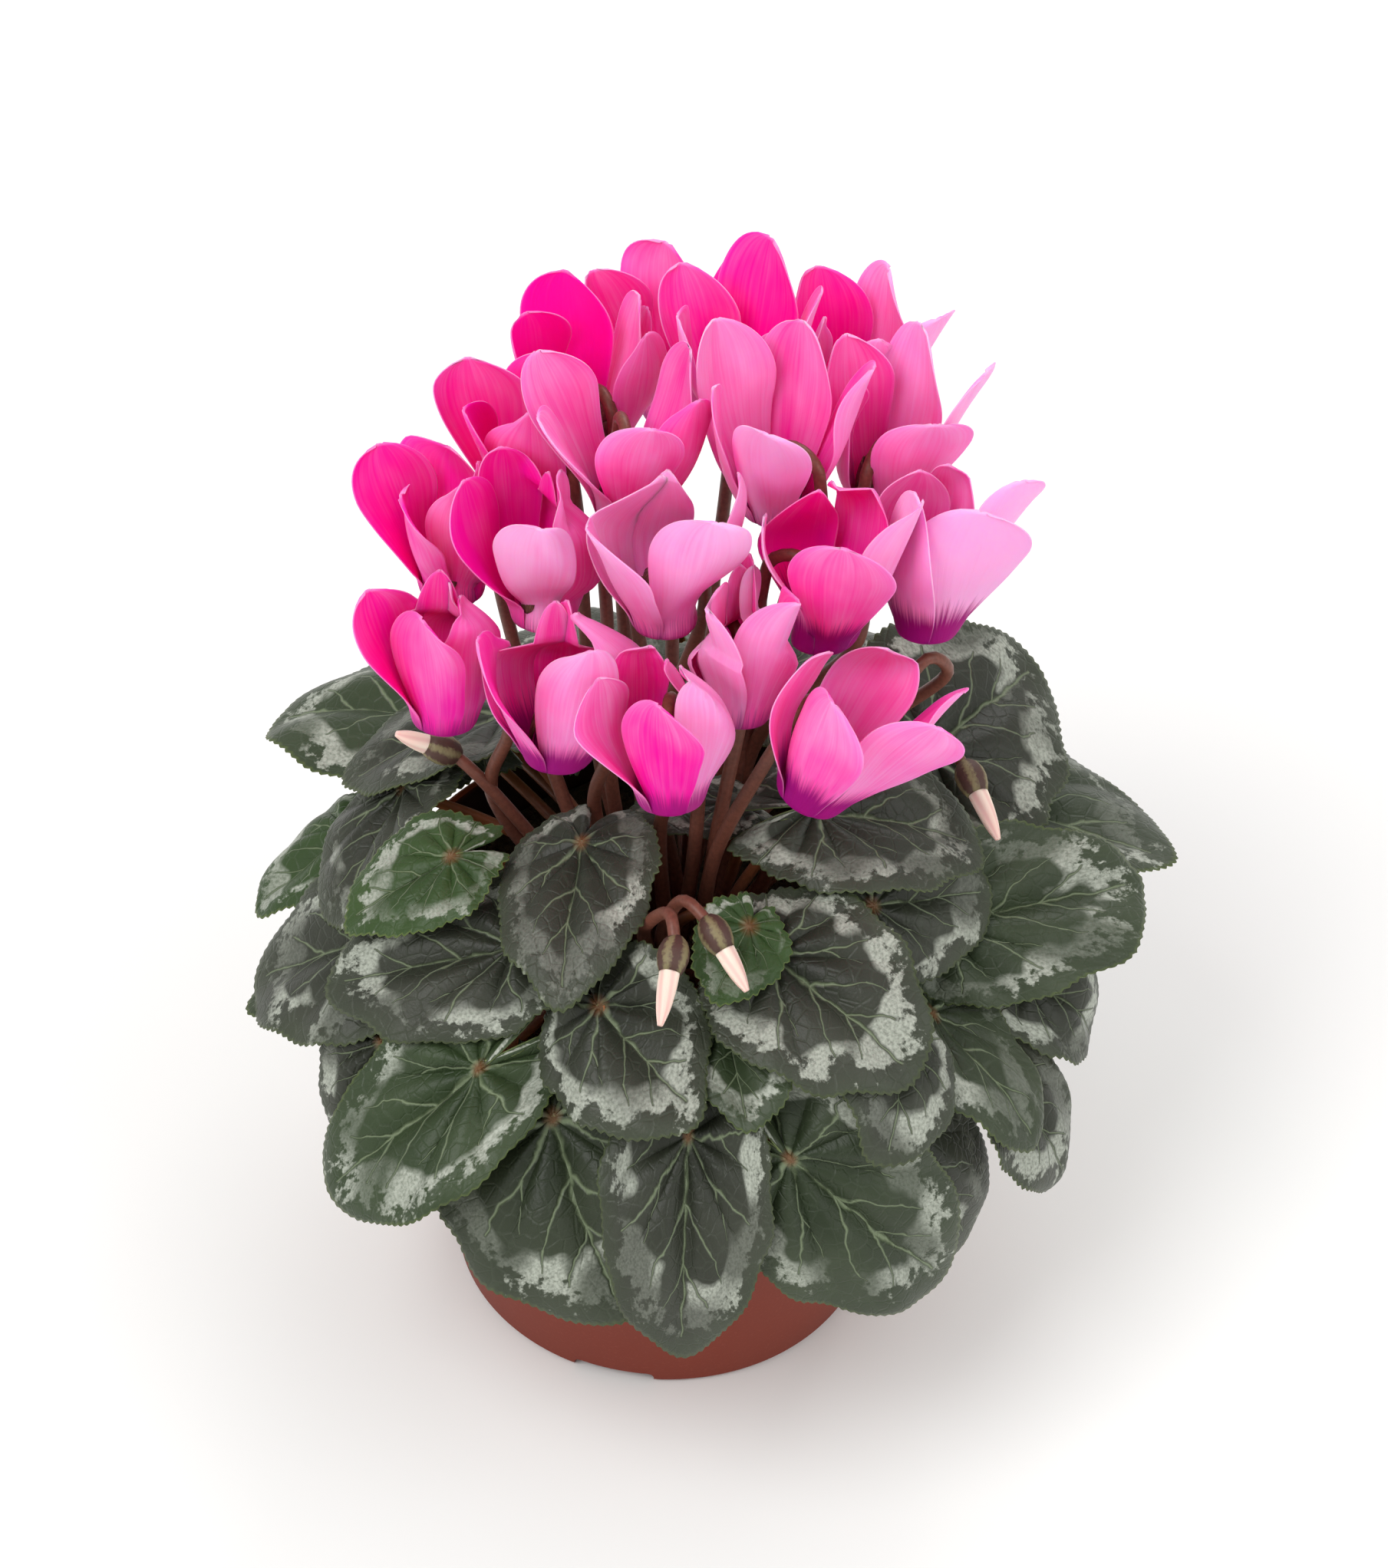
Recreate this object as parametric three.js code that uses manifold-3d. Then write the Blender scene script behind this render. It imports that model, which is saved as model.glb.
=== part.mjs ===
// A cyclamen in a round nursery pot: a dome of heart-shaped toothed leaves under nodding, swept-back blooms.
// Millimetres, +Z up. The origin is the middle of the pot's foot, on the surface that it stands on.
import * as THREE from "three";
import { mergeVertices } from "three/addons/utils/BufferGeometryUtils.js";
import Module from "manifold-3d";

const wasm = await Module();
wasm.setup();

// Pot and soil
const potHeight = 90;
const rimRadius = 60;
const footRadius = 43.5;
const potWall = 1.8;
const lipHeight = 11;
const lipReach = 2.2;
const floorTop = 5.2;
const potSides = 28;
const channelHeight = 3.2;
const channelWidth = 17;
const channelStart = 26;
const channelTurn = -101.5;
const channelCount = 4;
const drainRadius = 4;
const drainPlace = 32;
const drainSides = 8;
const soilTop = 80;
const soilSides = 18;
const soilRipple = 0.7;
const seatGap = 0.3;
const blendSlack = 0.2;
const jointGap = 0.85;

// Corm and stalks
const cormRadius = 17.8;
const cormSides = 14;
const crownHeight = 86;
const crownSpread = 11;
const crownScatter = 0.35;
const plantReach = 70;
const petioleRadius = 1.25;
const rimClear = 99;
const waistHeight = 128;
const petioleSteps = 3;
const petioleSides = 4;
const petioleRise = 0.4;
const petioleLean = 0.1;
const petioleReach = 0.35;
const petioleFlat = 0.36;
const petioleBow = 3;
const stalkRadius = 1.35;
const stalkSides = 4;
const hookRadius = 5.6;
const hookTurns = [0, 75, 150];
const calyxRadius = 4.2;
const calyxHeight = 4.2;
const calyxSides = 5;

// Leaf blades
const domeCentre = new THREE.Vector3(0, 0, 80);
const bladeThickness = 0.8;
const halfWidth = 0.59;
const heartTerms = [0.62, 0.24, 0.1, 0, 0.04];
const notchHalfAngle = 0.245;
const notchDepth = 0.9;
const waveCount = 3;
const wavePhase = 2.4;
const outlineSteps = 22;
const innerRing = 0.58;
const toothDepth = 0.025;
const lobeBend = 1.7;
const layerGap = 2.6;
const tuckPasses = 6;
const tuckSpread = 0.75;

// Blooms and buds
const petalThickness = 0.8;
const petalTwist = 48;
const petalCup = 0.18;
const petalCount = 5;
const crownRise = 18;
const cellGap = 0.9;
const mouthRoom = 7.6;
const cellEase = 0.3;
const cellBlend = 10;
const stalkDoorway = 104;
const tubeHeight = 8;
const tubeSides = 6;
const budSides = 6;
const budSeat = 2;
const budShares = [0, 0.2, 0.5, 0.8, 1];
const budRadii = [1.9, 2.6, 3, 2.1, 0.7];
const budCup = [1.2, 2.6, 3.1, 2.6];

// The petal's spine from its root in the tube's mouth: share of the way, reach, height, half-width, columns
// of vertices across, and how far the middle of its end rises over the corners.
const petalStations = [
  { way: 0, reach: 5.2, height: 1.7, half: 2.6, columns: 2, cap: 0 },
  { way: 0.08, reach: 7.2, height: -0.6, half: 3.4, columns: 2, cap: 0 },
  { way: 0.4, reach: 11, height: 12, half: 6.8, columns: 2, cap: 0 },
  { way: 0.75, reach: 14.6, height: 22, half: 9, columns: 3, cap: 0 },
  { way: 1, reach: 17.4, height: 29, half: 6, columns: 3, cap: 3.6 },
];

// Leaf blades, the topmost first: where the stalk joins the blade, the blade's tip, its width as a share of a
// round blade's, how far its middle arches and its sides droop, and its wave. Some also state how far they
// face up rather than outwards, how far the stalk swings aside on its way, or how flat it meets the blade.
const leafRows = [
  {
    joint: [-44, -23, 131], tip: [-63, -28, 118], wide: 0.92,
    arch: 1.5, droop: 1.5, wave: 0.8, swing: 6, flat: 0.6,
  },
  { joint: [-19, -22, 136], tip: [-21, -52, 125], wide: 0.85, arch: 3, droop: 2, wave: 1.2 },
  { joint: [26, -12, 138], tip: [58, -6, 126], wide: 0.9, arch: 3, droop: 2, wave: 1.5, lift: 0.1 },
  { joint: [10, 2, 125], tip: [-9, -2, 124], wide: 0.75, arch: 1, droop: 1, wave: 0.8 },
  { joint: [-36, 19, 130], tip: [-66, 12, 118], wide: 1, arch: 3, droop: 2, wave: 1.5, lift: 0.1 },
  { joint: [-58, 5, 124], tip: [-70, -21, 111], wide: 0.85, arch: 3, droop: 2, wave: 1.5 },
  {
    joint: [14, -37, 130], tip: [8, -50, 124], wide: 1.05,
    arch: 0.5, droop: -1, wave: 0.6, swing: 14, flat: 0.8,
  },
  { joint: [20, -42, 128], tip: [46, -56, 113], wide: 1.05, arch: 3, droop: 2, wave: 1.2 },
  { joint: [-34, -40, 125], tip: [-65, -35, 107], wide: 0.82, arch: 3, droop: 2, wave: 1.5 },
  { joint: [-15, -53, 122], tip: [5, -70, 111], wide: 1.1, arch: 2, droop: 2, wave: 1 },
  { joint: [-44, -66, 111], tip: [-66, -63, 78], wide: 0.82, arch: 4, droop: 3, wave: 1.5, swing: 3 },
  { joint: [38, -24, 124], tip: [60, -10, 115], wide: 1, arch: 2, droop: 2, wave: 1 },
  { joint: [62, -19, 118], tip: [93, 4, 107], wide: 0.85, arch: 4, droop: 2, wave: 1.5, lift: 0.1 },
  { joint: [50, 24, 121], tip: [71, 53, 118], wide: 1.2, arch: 3, droop: 2, wave: 1.5 },
  { joint: [14, 38, 126], tip: [34, 66, 114], wide: 1, arch: 3, droop: 2, wave: 1.5 },
  { joint: [-20, 36, 126], tip: [-22, 72, 114], wide: 1, arch: 3, droop: 2, wave: 1.5 },
  { joint: [-50, 36, 117], tip: [-83, 45, 101], wide: 1.1, arch: 3, droop: 2, wave: 1.2, lift: 0.6 },
  { joint: [64, 34, 107], tip: [99, 22, 97], wide: 1.25, arch: 1, droop: 2, wave: 1.2, lift: 0.5 },
  { joint: [-58, -26, 114], tip: [-85, -17, 89], wide: 1, arch: 3, droop: 2, wave: 1.5, lift: 0.2 },
  { joint: [-70, 10, 107], tip: [-85, 3, 89], wide: 1, arch: 2, droop: 1, wave: 1 },
  { joint: [12, -54, 118], tip: [16, -70, 109], wide: 1.1, arch: 1, droop: 1, wave: 1, lift: 0.4 },
  { joint: [46, -46, 113], tip: [43, -67, 99], wide: 0.95, arch: 3, droop: 2, wave: 1.5, swing: 8 },
  { joint: [62, -37, 106], tip: [72, -47, 84], wide: 1, arch: 3, droop: 2, wave: 1.5 },
  { joint: [75, -17, 99], tip: [86, -13, 79], wide: 1, arch: 2, droop: 2, wave: 1.5 },
  {
    joint: [-62, -22, 104], tip: [-88, -20, 84], wide: 0.62, arch: 1.5, droop: 2, wave: 1.2, lift: 0.6,
    flat: 0.5,
  },
  { joint: [5, -75, 104], tip: [5, -84, 61], wide: 0.68, arch: 3, droop: 3, wave: 1, swing: 6 },
  { joint: [-59, -46, 101], tip: [-66, -52, 79], wide: 0.9, arch: 3, droop: 2, wave: 1.2 },
  { joint: [-27, -72, 101], tip: [-7, -87, 67], wide: 1.1, arch: 3, droop: 2, wave: 1.5, swing: -8 },
  { joint: [29, -78, 98], tip: [56, -65, 62], wide: 0.85, arch: 4, droop: 2, wave: 1.5 },
  { joint: [77, -40, 92], tip: [80, -37, 64], wide: 1, arch: 3, droop: 2, wave: 1.5 },
  { joint: [51, -64, 96], tip: [63, -52, 58], wide: 0.9, arch: 3, droop: 2, wave: 1.5 },
  { joint: [-41, -74, 96], tip: [-34, -73, 60], wide: 0.5, arch: 3, droop: 2, wave: 1.3 },
  { joint: [46, 58, 106], tip: [62, 76, 78], wide: 1.2, arch: 3, droop: 2, wave: 1.5 },
  { joint: [-2, 70, 108], tip: [-2, 92, 77], wide: 1.3, arch: 3, droop: 2, wave: 1.5 },
  { joint: [-49, 56, 106], tip: [-62, 73, 78], wide: 1.25, arch: 3, droop: 2, wave: 1.5 },
];

// Blooms: the middle of the mouth, how far the crown leans per unit of height, where the stalk leaves the
// leaves, size, how open the petals are, and the turn of the stalk's side in degrees.
const bloomRows = [
  { nose: [-46, -12, 158], lean: [0, 0.15], waist: [-37, -3], size: 0.95, open: 0.85, turn: 0 },
  { nose: [-24, -21, 158], lean: [0.03, 0.18], waist: [-17, -5], size: 1, open: 1.3, turn: 0 },
  { nose: [-2, -33, 160], lean: [-0.1, 0.2], waist: [-4, -9], size: 0.95, open: 1, turn: 0 },
  { nose: [24, -31, 160], lean: [0.37, 0.16], waist: [7, -16], size: 1, open: 1.1, turn: 0 },
  { nose: [10, -17, 168], lean: [0, 0.2], waist: [3, -12], size: 1, open: 1.1, turn: 0 },
  { nose: [-46, 8, 173], lean: [0, 0.1], waist: [-24, 0], size: 0.9, open: 0.8, turn: 60 },
  { nose: [-28, 0, 175], lean: [0, 0.1], waist: [-14, 2], size: 1, open: 1.1, turn: 20 },
  { nose: [-5, -7, 181], lean: [0, 0.15], waist: [-5, 10], size: 1, open: 1.3, turn: 0 },
  { nose: [25, -6, 178], lean: [-0.05, 0.15], waist: [7, -11], size: 1, open: 1.2, turn: 0 },
  { nose: [45, 3, 174], lean: [0, 0.15], waist: [14, 16], size: 1, open: 0.9, turn: 0 },
  { nose: [-32, 24, 179], lean: [0, 0], waist: [-17, 12], size: 0.95, open: 0.85, turn: 0 },
  { nose: [-13, 14, 189], lean: [0, 0], waist: [-6, 13], size: 1, open: 1.2, turn: 150 },
  { nose: [15, 17, 190], lean: [0, 0], waist: [9, 15], size: 1, open: 1.2, turn: 90 },
  { nose: [36, 28, 183], lean: [0, 0], waist: [20, 18], size: 1, open: 0.9, turn: 30 },
  { nose: [-21, 46, 178], lean: [0, 0], waist: [-10, 15], size: 0.95, open: 0.9, turn: 0 },
  { nose: [8, 46, 186], lean: [0, 0], waist: [2, 19], size: 0.95, open: 1, turn: 0 },
  { nose: [-6, 68, 171], lean: [0, -0.1], waist: [-3, 17], size: 0.95, open: 0.9, turn: 0 },
  { nose: [30, 54, 178], lean: [0, 0], waist: [12, 17], size: 0.95, open: 0.9, turn: 0 },
];

// Buds: the calyx, the bud's tip, the top of the stalk's bend, and where the stalk passes below it.
const budRows = [
  { calyx: [-46, -3, 140], tip: [-56, -4, 145], bend: [-41, -5, 137], waist: [-30, -4, 120] },
  { calyx: [0, -52, 138], tip: [-2, -66, 132], bend: [-1, -46, 141], waist: [-6, -36, 127] },
  { calyx: [7, -47, 139], tip: [14, -57, 133], bend: [2, -42, 141], waist: [-2, -34, 127] },
  { calyx: [56, 3, 135], tip: [62, -10, 130], bend: [50, 10, 137], waist: [32, 14, 118] },
];

const colours = {
  pot: 0x8a4a3c,
  soil: 0x2c1f17,
  stalk: 0x7a3b2c,
  leaf: 0x3f5145,
  petal: 0xf0559b,
  bud: 0xe8c9bd,
};

function material(colour, roughness) {
  return new THREE.MeshStandardMaterial({ color: colour, roughness, metalness: 0, flatShading: true });
}

const materials = {
  pot: material(colours.pot, 0.5),
  soil: material(colours.soil, 0.95),
  stalk: material(colours.stalk, 0.55),
  leaf: material(colours.leaf, 0.5),
  petal: material(colours.petal, 0.6),
  bud: material(colours.bud, 0.55),
};

const degrees = THREE.MathUtils.degToRad;
const up = new THREE.Vector3(0, 0, 1);
const vector = (row) => new THREE.Vector3(...row);

// Solids and geometries
function solidOf(geometry) {
  const bare = geometry.clone();
  bare.deleteAttribute("normal");
  bare.deleteAttribute("uv");
  const merged = mergeVertices(bare, 1e-4);
  return new wasm.Manifold(
    new wasm.Mesh({
      numProp: 3,
      vertProperties: merged.attributes.position.array,
      triVerts: new Uint32Array(merged.index.array),
    }),
  );
}

function geometryOf(solid) {
  const mesh = solid.getMesh();
  const positions = new Float32Array(mesh.numVert * 3);
  for (let i = 0; i < mesh.numVert; i++) {
    positions.set(mesh.vertProperties.subarray(i * mesh.numProp, i * mesh.numProp + 3), i * 3);
  }
  return new THREE.BufferGeometry()
    .setAttribute("position", new THREE.BufferAttribute(positions, 3))
    .setIndex(new THREE.BufferAttribute(mesh.triVerts, 1));
}

function geometryFrom(points, faces) {
  return new THREE.BufferGeometry()
    .setFromPoints(points)
    .setIndex(faces.flat());
}

// A lathe about Z from a profile of [radius, height] pairs that runs from the bottom of the axis to its top.
function turned(profile, sides) {
  const outline = profile.map(([radius, height]) => new THREE.Vector2(radius, height));
  return new THREE.LatheGeometry(outline, sides).rotateX(Math.PI / 2);
}

// A closed tube through points, with a radius at each, its ends flat.
function tube(points, radii, sides) {
  const ring = [];
  const faces = [];
  const tangents = points.map((point, i) => {
    const before = points[Math.max(i - 1, 0)];
    const after = points[Math.min(i + 1, points.length - 1)];
    return after.clone().sub(before).normalize();
  });
  let side = new THREE.Vector3(1, 0, 0);
  points.forEach((point, i) => {
    side = side.clone().addScaledVector(tangents[i], -side.dot(tangents[i])).normalize();
    const other = tangents[i].clone().cross(side);
    for (let k = 0; k < sides; k++) {
      const angle = (2 * Math.PI * k) / sides;
      ring.push(
        point.clone()
          .addScaledVector(side, radii[i] * Math.cos(angle))
          .addScaledVector(other, radii[i] * Math.sin(angle)),
      );
    }
  });
  for (let i = 0; i + 1 < points.length; i++) {
    for (let k = 0; k < sides; k++) {
      const a = i * sides + k;
      const b = i * sides + ((k + 1) % sides);
      faces.push([a, b, b + sides], [a, b + sides, a + sides]);
    }
  }
  const last = (points.length - 1) * sides;
  for (let k = 1; k + 1 < sides; k++) {
    faces.push([0, k + 1, k], [last, last + k, last + k + 1]);
  }
  return geometryFrom(ring, faces);
}

// A thin sheet given thickness along its vertex normals, split into triangles alike on both faces.
function thickened(points, faces, thickness) {
  const normals = vertexNormals(points, faces);
  const count = points.length;
  const upper = points.map((point, i) => point.clone().addScaledVector(normals[i], thickness / 2));
  const lower = points.map((point, i) => point.clone().addScaledVector(normals[i], -thickness / 2));
  const skin = [];
  const used = new Set(faces.flatMap(([a, b, c]) => [`${a} ${b}`, `${b} ${c}`, `${c} ${a}`]));
  for (const [a, b, c] of faces) {
    skin.push([a, b, c], [a + count, c + count, b + count]);
    for (const [from, to] of [[a, b], [b, c], [c, a]]) {
      if (!used.has(`${to} ${from}`)) {
        skin.push([from, from + count, to + count], [from, to + count, to]);
      }
    }
  }
  return geometryFrom([...upper, ...lower], skin);
}

function vertexNormals(points, faces) {
  const normals = points.map(() => new THREE.Vector3());
  for (const [a, b, c] of faces) {
    const along = points[b].clone().sub(points[a]);
    const across = points[c].clone().sub(points[a]);
    const area = along.cross(across);
    for (const corner of [a, b, c]) {
      normals[corner].add(area);
    }
  }
  return normals.map((normal) => normal.normalize());
}

function ringPoint(radius, angle, height) {
  return new THREE.Vector3(radius * Math.cos(angle), radius * Math.sin(angle), height);
}

// Pot: a tapered tub with a lip, whose foot has four low channels with a drain hole in each.
function potRadiusAt(height) {
  const bodyHeight = potHeight - lipHeight;
  return footRadius + ((rimRadius - lipReach - footRadius) * height) / bodyHeight;
}

function potGeometry() {
  const lipBottom = potHeight - lipHeight;
  let solid = solidOf(turned([
    [0, 0],
    [footRadius - 1, 0],
    [potRadiusAt(1), 1],
    [potRadiusAt(lipBottom), lipBottom],
    [rimRadius - 0.3, lipBottom + 0.9],
    [rimRadius, potHeight - 1.2],
    [rimRadius - 0.7, potHeight],
    [rimRadius - potWall - 0.2, potHeight - 0.2],
    [potRadiusAt(lipBottom) - potWall, lipBottom],
    [potRadiusAt(floorTop) - potWall, floorTop],
    [0, floorTop],
  ], potSides));
  const channelLength = footRadius;
  for (let i = 0; i < channelCount; i++) {
    const angle = degrees(channelTurn) + (2 * Math.PI * i) / channelCount;
    const channel = new THREE.BoxGeometry(channelLength, channelWidth, 2 * channelHeight);
    channel.translate(channelStart + channelLength / 2, 0, 0).rotateZ(angle);
    const drain = new THREE.CylinderGeometry(drainRadius, drainRadius, 4 * floorTop, drainSides);
    drain.rotateX(Math.PI / 2).translate(drainPlace, 0, 0).rotateZ(angle);
    solid = solid.subtract(solidOf(channel)).subtract(solidOf(drain));
  }
  return geometryOf(solid);
}

// Soil: fills the pot to below its lip, with a slightly uneven top and a plain pit that the corm sits in.
function soilGeometry() {
  const skin = potWall + seatGap;
  const geometry = turned([
    [0, floorTop + seatGap],
    [potRadiusAt(floorTop) - skin - 0.2, floorTop + seatGap],
    [potRadiusAt(soilTop - 2) - skin - 0.3, soilTop - 2],
    [50, soilTop - 0.4],
    [38, soilTop + 0.4],
    [27, soilTop - 0.2],
    [cormRadius + 0.9, soilTop],
    [cormRadius - 2.4, 73.4],
    [cormRadius - 8.4, 70.6],
    [0, 69.8],
  ], soilSides);
  const position = geometry.attributes.position;
  for (let i = 0; i < position.count; i++) {
    const radius = Math.hypot(position.getX(i), position.getY(i));
    if (radius > 25 && radius < 52 && position.getZ(i) > soilTop - 1) {
      const angle = Math.round(Math.atan2(position.getY(i), position.getX(i)) * 1000) / 1000;
      const ripple = Math.sin(5 * angle + radius) + 0.7 * Math.cos(9 * angle);
      position.setZ(i, position.getZ(i) + soilRipple * ripple);
    }
  }
  return geometryOf(solidOf(geometry));
}

function cormGeometry() {
  return turned([
    [0, 70.3],
    [cormRadius - 8.8, 71.1],
    [cormRadius - 3, 73.9],
    [cormRadius, 79],
    [cormRadius - 1.4, 82.5],
    [crownSpread + 2, crownHeight],
    [crownSpread - 4, crownHeight + 2],
    [0, crownHeight + 2.5],
  ], cormSides);
}

// Leaf blades. The outline is a heart about the joint, whose sinus is the notch behind it.
function leafReach(angle) {
  const heart = heartTerms.reduce((sum, term, order) => sum + term * Math.cos(order * angle), 0);
  const fromNotch = (Math.PI - Math.abs(angle)) / notchHalfAngle;
  return heart * (1 - notchDepth * Math.exp(-fromNotch * fromNotch));
}

function leafFrame(joint, tip, lift) {
  const along = tip.clone().sub(joint).normalize();
  const outward = joint.clone().add(tip).multiplyScalar(0.5).sub(domeCentre).normalize();
  outward.multiplyScalar(1 - lift).addScaledVector(up, lift);
  const normal = outward.addScaledVector(along, -outward.dot(along)).normalize();
  return { along, normal, across: normal.clone().cross(along) };
}

function bladeOf(row, index) {
  const joint = vector(row.joint);
  const tip = vector(row.tip);
  const length = joint.distanceTo(tip);
  const { along, normal, across } = leafFrame(joint, tip, row.lift ?? 0);
  const half = halfWidth * length * row.wide;
  const place = (share, angle, tooth) => {
    const reach = share * length * leafReach(angle) * tooth;
    const x = reach * Math.cos(angle);
    const y = reach * Math.sin(angle) * row.wide;
    const t = x / length;
    const arch = 4 * row.arch * t * (1 - t) * (t < 0 ? lobeBend : 1);
    const droop = row.droop * (y / half) ** 2;
    const wave = row.wave * share * share * Math.sin(waveCount * angle + wavePhase * index);
    return joint.clone()
      .addScaledVector(along, x)
      .addScaledVector(across, y)
      .addScaledVector(normal, arch - droop + wave);
  };
  const points = [joint.clone()];
  const faces = [];
  const innerSteps = outlineSteps / 2;
  for (let i = 0; i < innerSteps; i++) {
    points.push(place(innerRing, wrapped((2 * Math.PI * i) / innerSteps), 1));
  }
  for (let i = 0; i < outlineSteps; i++) {
    const tooth = i % 2 ? 1 - toothDepth : 1 + toothDepth;
    points.push(place(1, wrapped((2 * Math.PI * i) / outlineSteps), tooth));
  }
  const inner = (i) => 1 + (i % innerSteps);
  const outer = (i) => 1 + innerSteps + (i % outlineSteps);
  const notch = (innerSteps - 1) / 2;
  for (let i = 0; i < innerSteps; i++) {
    if (i === notch) {
      // The notch comes nearer to the joint than the inner ring, so here two faces meet along its axis.
      faces.push([0, inner(i), outer(2 * i + 1)], [0, outer(2 * i + 1), inner(i + 1)]);
    } else {
      faces.push([0, inner(i), inner(i + 1)], [inner(i), outer(2 * i + 1), inner(i + 1)]);
    }
    faces.push([inner(i), outer(2 * i), outer(2 * i + 1)]);
    faces.push([inner(i + 1), outer(2 * i + 1), outer(2 * i + 2)]);
  }
  return { points, faces, length };
}

function wrapped(angle) {
  return angle > Math.PI ? angle - 2 * Math.PI : angle;
}

// How far from the dome's centre a ray that leaves it through a point meets a blade, and where in which face.
function rayMeets(point, blade) {
  const ray = new THREE.Ray(domeCentre, point.clone().sub(domeCentre).normalize());
  const spot = new THREE.Vector3();
  for (const face of blade.faces) {
    const [a, b, c] = face.map((corner) => blade.points[corner]);
    if (ray.intersectTriangle(a, b, c, false, spot)) {
      return { reach: spot.distanceTo(domeCentre), spot: spot.clone() };
    }
  }
  return null;
}

function samplesOf(blade) {
  const { points, faces } = blade;
  const middles = faces.map(([a, b, c]) => points[a].clone().add(points[b]).add(points[c]).divideScalar(3));
  const edges = faces.map(([a, , c]) => points[a].clone().add(points[c]).divideScalar(2));
  return [...points, ...middles, ...edges];
}

function mayMeet(one, other) {
  const reach = (blade) => Math.max(...blade.points.map((point) => point.distanceTo(blade.points[0])));
  return one.points[0].distanceTo(other.points[0]) < (reach(one) + reach(other)) * 1.3;
}

// A blade under others is pressed in towards the dome's centre until it lies clear beneath them.
function tuckUnder(blade, above) {
  const near = above.filter((upper) => mayMeet(blade, upper));
  for (let pass = 0; pass < tuckPasses; pass++) {
    const presses = [];
    for (const upper of near) {
      for (const sample of samplesOf(blade)) {
        const meeting = rayMeets(sample, upper);
        const excess = meeting ? sample.distanceTo(domeCentre) + layerGap - meeting.reach : 0;
        if (excess > 0) {
          presses.push({ spot: sample, excess });
        }
      }
      for (const sample of samplesOf(upper)) {
        const meeting = rayMeets(sample, blade);
        const excess = meeting ? meeting.reach + layerGap - sample.distanceTo(domeCentre) : 0;
        if (excess > 0) {
          presses.push({ spot: meeting.spot, excess });
        }
      }
    }
    if (!presses.length) {
      return;
    }
    const falloff = tuckSpread * blade.length;
    for (const point of blade.points) {
      const push = Math.max(...presses.map(({ spot, excess }) =>
        excess * Math.max(0, 1 - (point.distanceTo(spot) / falloff) ** 2)));
      const inward = domeCentre.clone().sub(point).normalize();
      point.addScaledVector(inward, Math.max(push, 0));
    }
  }
}

// Stalks start on the crown of the corm, on the side that they lean to.
function crownStart(target, order) {
  const angle = Math.atan2(target.y, target.x) + crownScatter * Math.sin(wavePhase * order);
  const reach = Math.min(1, Math.hypot(target.x, target.y) / plantReach);
  const radius = crownSpread * (0.3 + 0.65 * reach);
  return ringPoint(radius, angle, crownHeight - 1.5 - 3 * reach);
}

function petiole(blade, row, order) {
  const normal = vertexNormals(blade.points, blade.faces)[0];
  const along = vector(row.tip).sub(blade.points[0]).normalize();
  const flat = row.flat ?? petioleFlat;
  const drop = bladeThickness / 2 + jointGap + petioleRadius * Math.max(flat, petioleFlat);
  const end = blade.points[0].clone().addScaledVector(normal, -drop);
  const start = crownStart(end, order);
  const span = start.distanceTo(end);
  const out = new THREE.Vector3(end.x - start.x, end.y - start.y, 0).normalize();
  const side = out.clone().cross(up);
  const approach = normal.clone().multiplyScalar(Math.sqrt(1 - flat * flat)).addScaledVector(along, flat);
  const first = start.clone()
    .addScaledVector(up, petioleRise * span)
    .addScaledVector(out, petioleLean * span);
  const second = end.clone().addScaledVector(approach, -petioleReach * span);
  first.addScaledVector(side, row.swing ?? 0);
  second.addScaledVector(side, row.swing ?? 0);
  second.z = Math.max(second.z, Math.min(end.z + petioleBow, rimClear));
  const points = new THREE.CubicBezierCurve3(start, first, second, end).getPoints(petioleSteps);
  return tube(points, points.map(() => petioleRadius), petioleSides);
}

// A bloom's own frame: its axis from the mouth to the crown, and the side on which the stalk comes up.
function bloomFrame(row) {
  const nose = vector(row.nose);
  const axis = new THREE.Vector3(row.lean[0], row.lean[1], 1).normalize();
  const inward = new THREE.Vector3(-nose.x, -nose.y, 0);
  const door = inward.addScaledVector(axis, -inward.dot(axis)).normalize();
  door.applyAxisAngle(axis, degrees(row.turn));
  return { nose, axis, door, side: axis.clone().cross(door) };
}

function inBloom(frame, reach, angle, height) {
  return frame.nose.clone()
    .addScaledVector(frame.door, reach * Math.cos(angle))
    .addScaledVector(frame.side, reach * Math.sin(angle))
    .addScaledVector(frame.axis, height);
}

function petalAngle(order) {
  return degrees(stalkDoorway / 2 + ((360 - stalkDoorway) * order) / (petalCount - 1));
}

function crownMiddle(row) {
  const { nose, axis } = bloomFrame(row);
  return nose.addScaledVector(axis, crownRise * row.size);
}

// Blooms crowd one another. A plane lies between each two, nearer the one that opens less, and where a
// petal would reach past it the petal is drawn in towards its own bloom's axis.
function drawnIn(point, row, frame) {
  const height = point.clone().sub(frame.nose).dot(frame.axis);
  const foot = frame.nose.clone().addScaledVector(frame.axis, height);
  const reach = point.clone().sub(foot);
  const middle = crownMiddle(row);
  let crowding = 0;
  for (const other of bloomRows) {
    if (other !== row) {
      const toward = crownMiddle(other).sub(middle);
      const share = row.open / (row.open + other.open);
      const between = toward.length() * share - cellGap;
      toward.normalize();
      const mouth = vector(other.nose).sub(middle).dot(toward) - mouthRoom;
      const limit = Math.min(between, mouth);
      const room = limit - foot.clone().sub(middle).dot(toward);
      crowding += Math.max(0, reach.dot(toward) / Math.max(room, 1)) ** cellBlend;
    }
  }
  crowding **= 1 / cellBlend;
  const free = 1 - cellEase;
  if (crowding <= free) {
    return point;
  }
  const kept = free + cellEase * (1 - Math.exp((free - crowding) / cellEase));
  return foot.addScaledVector(reach, kept / crowding);
}

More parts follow.
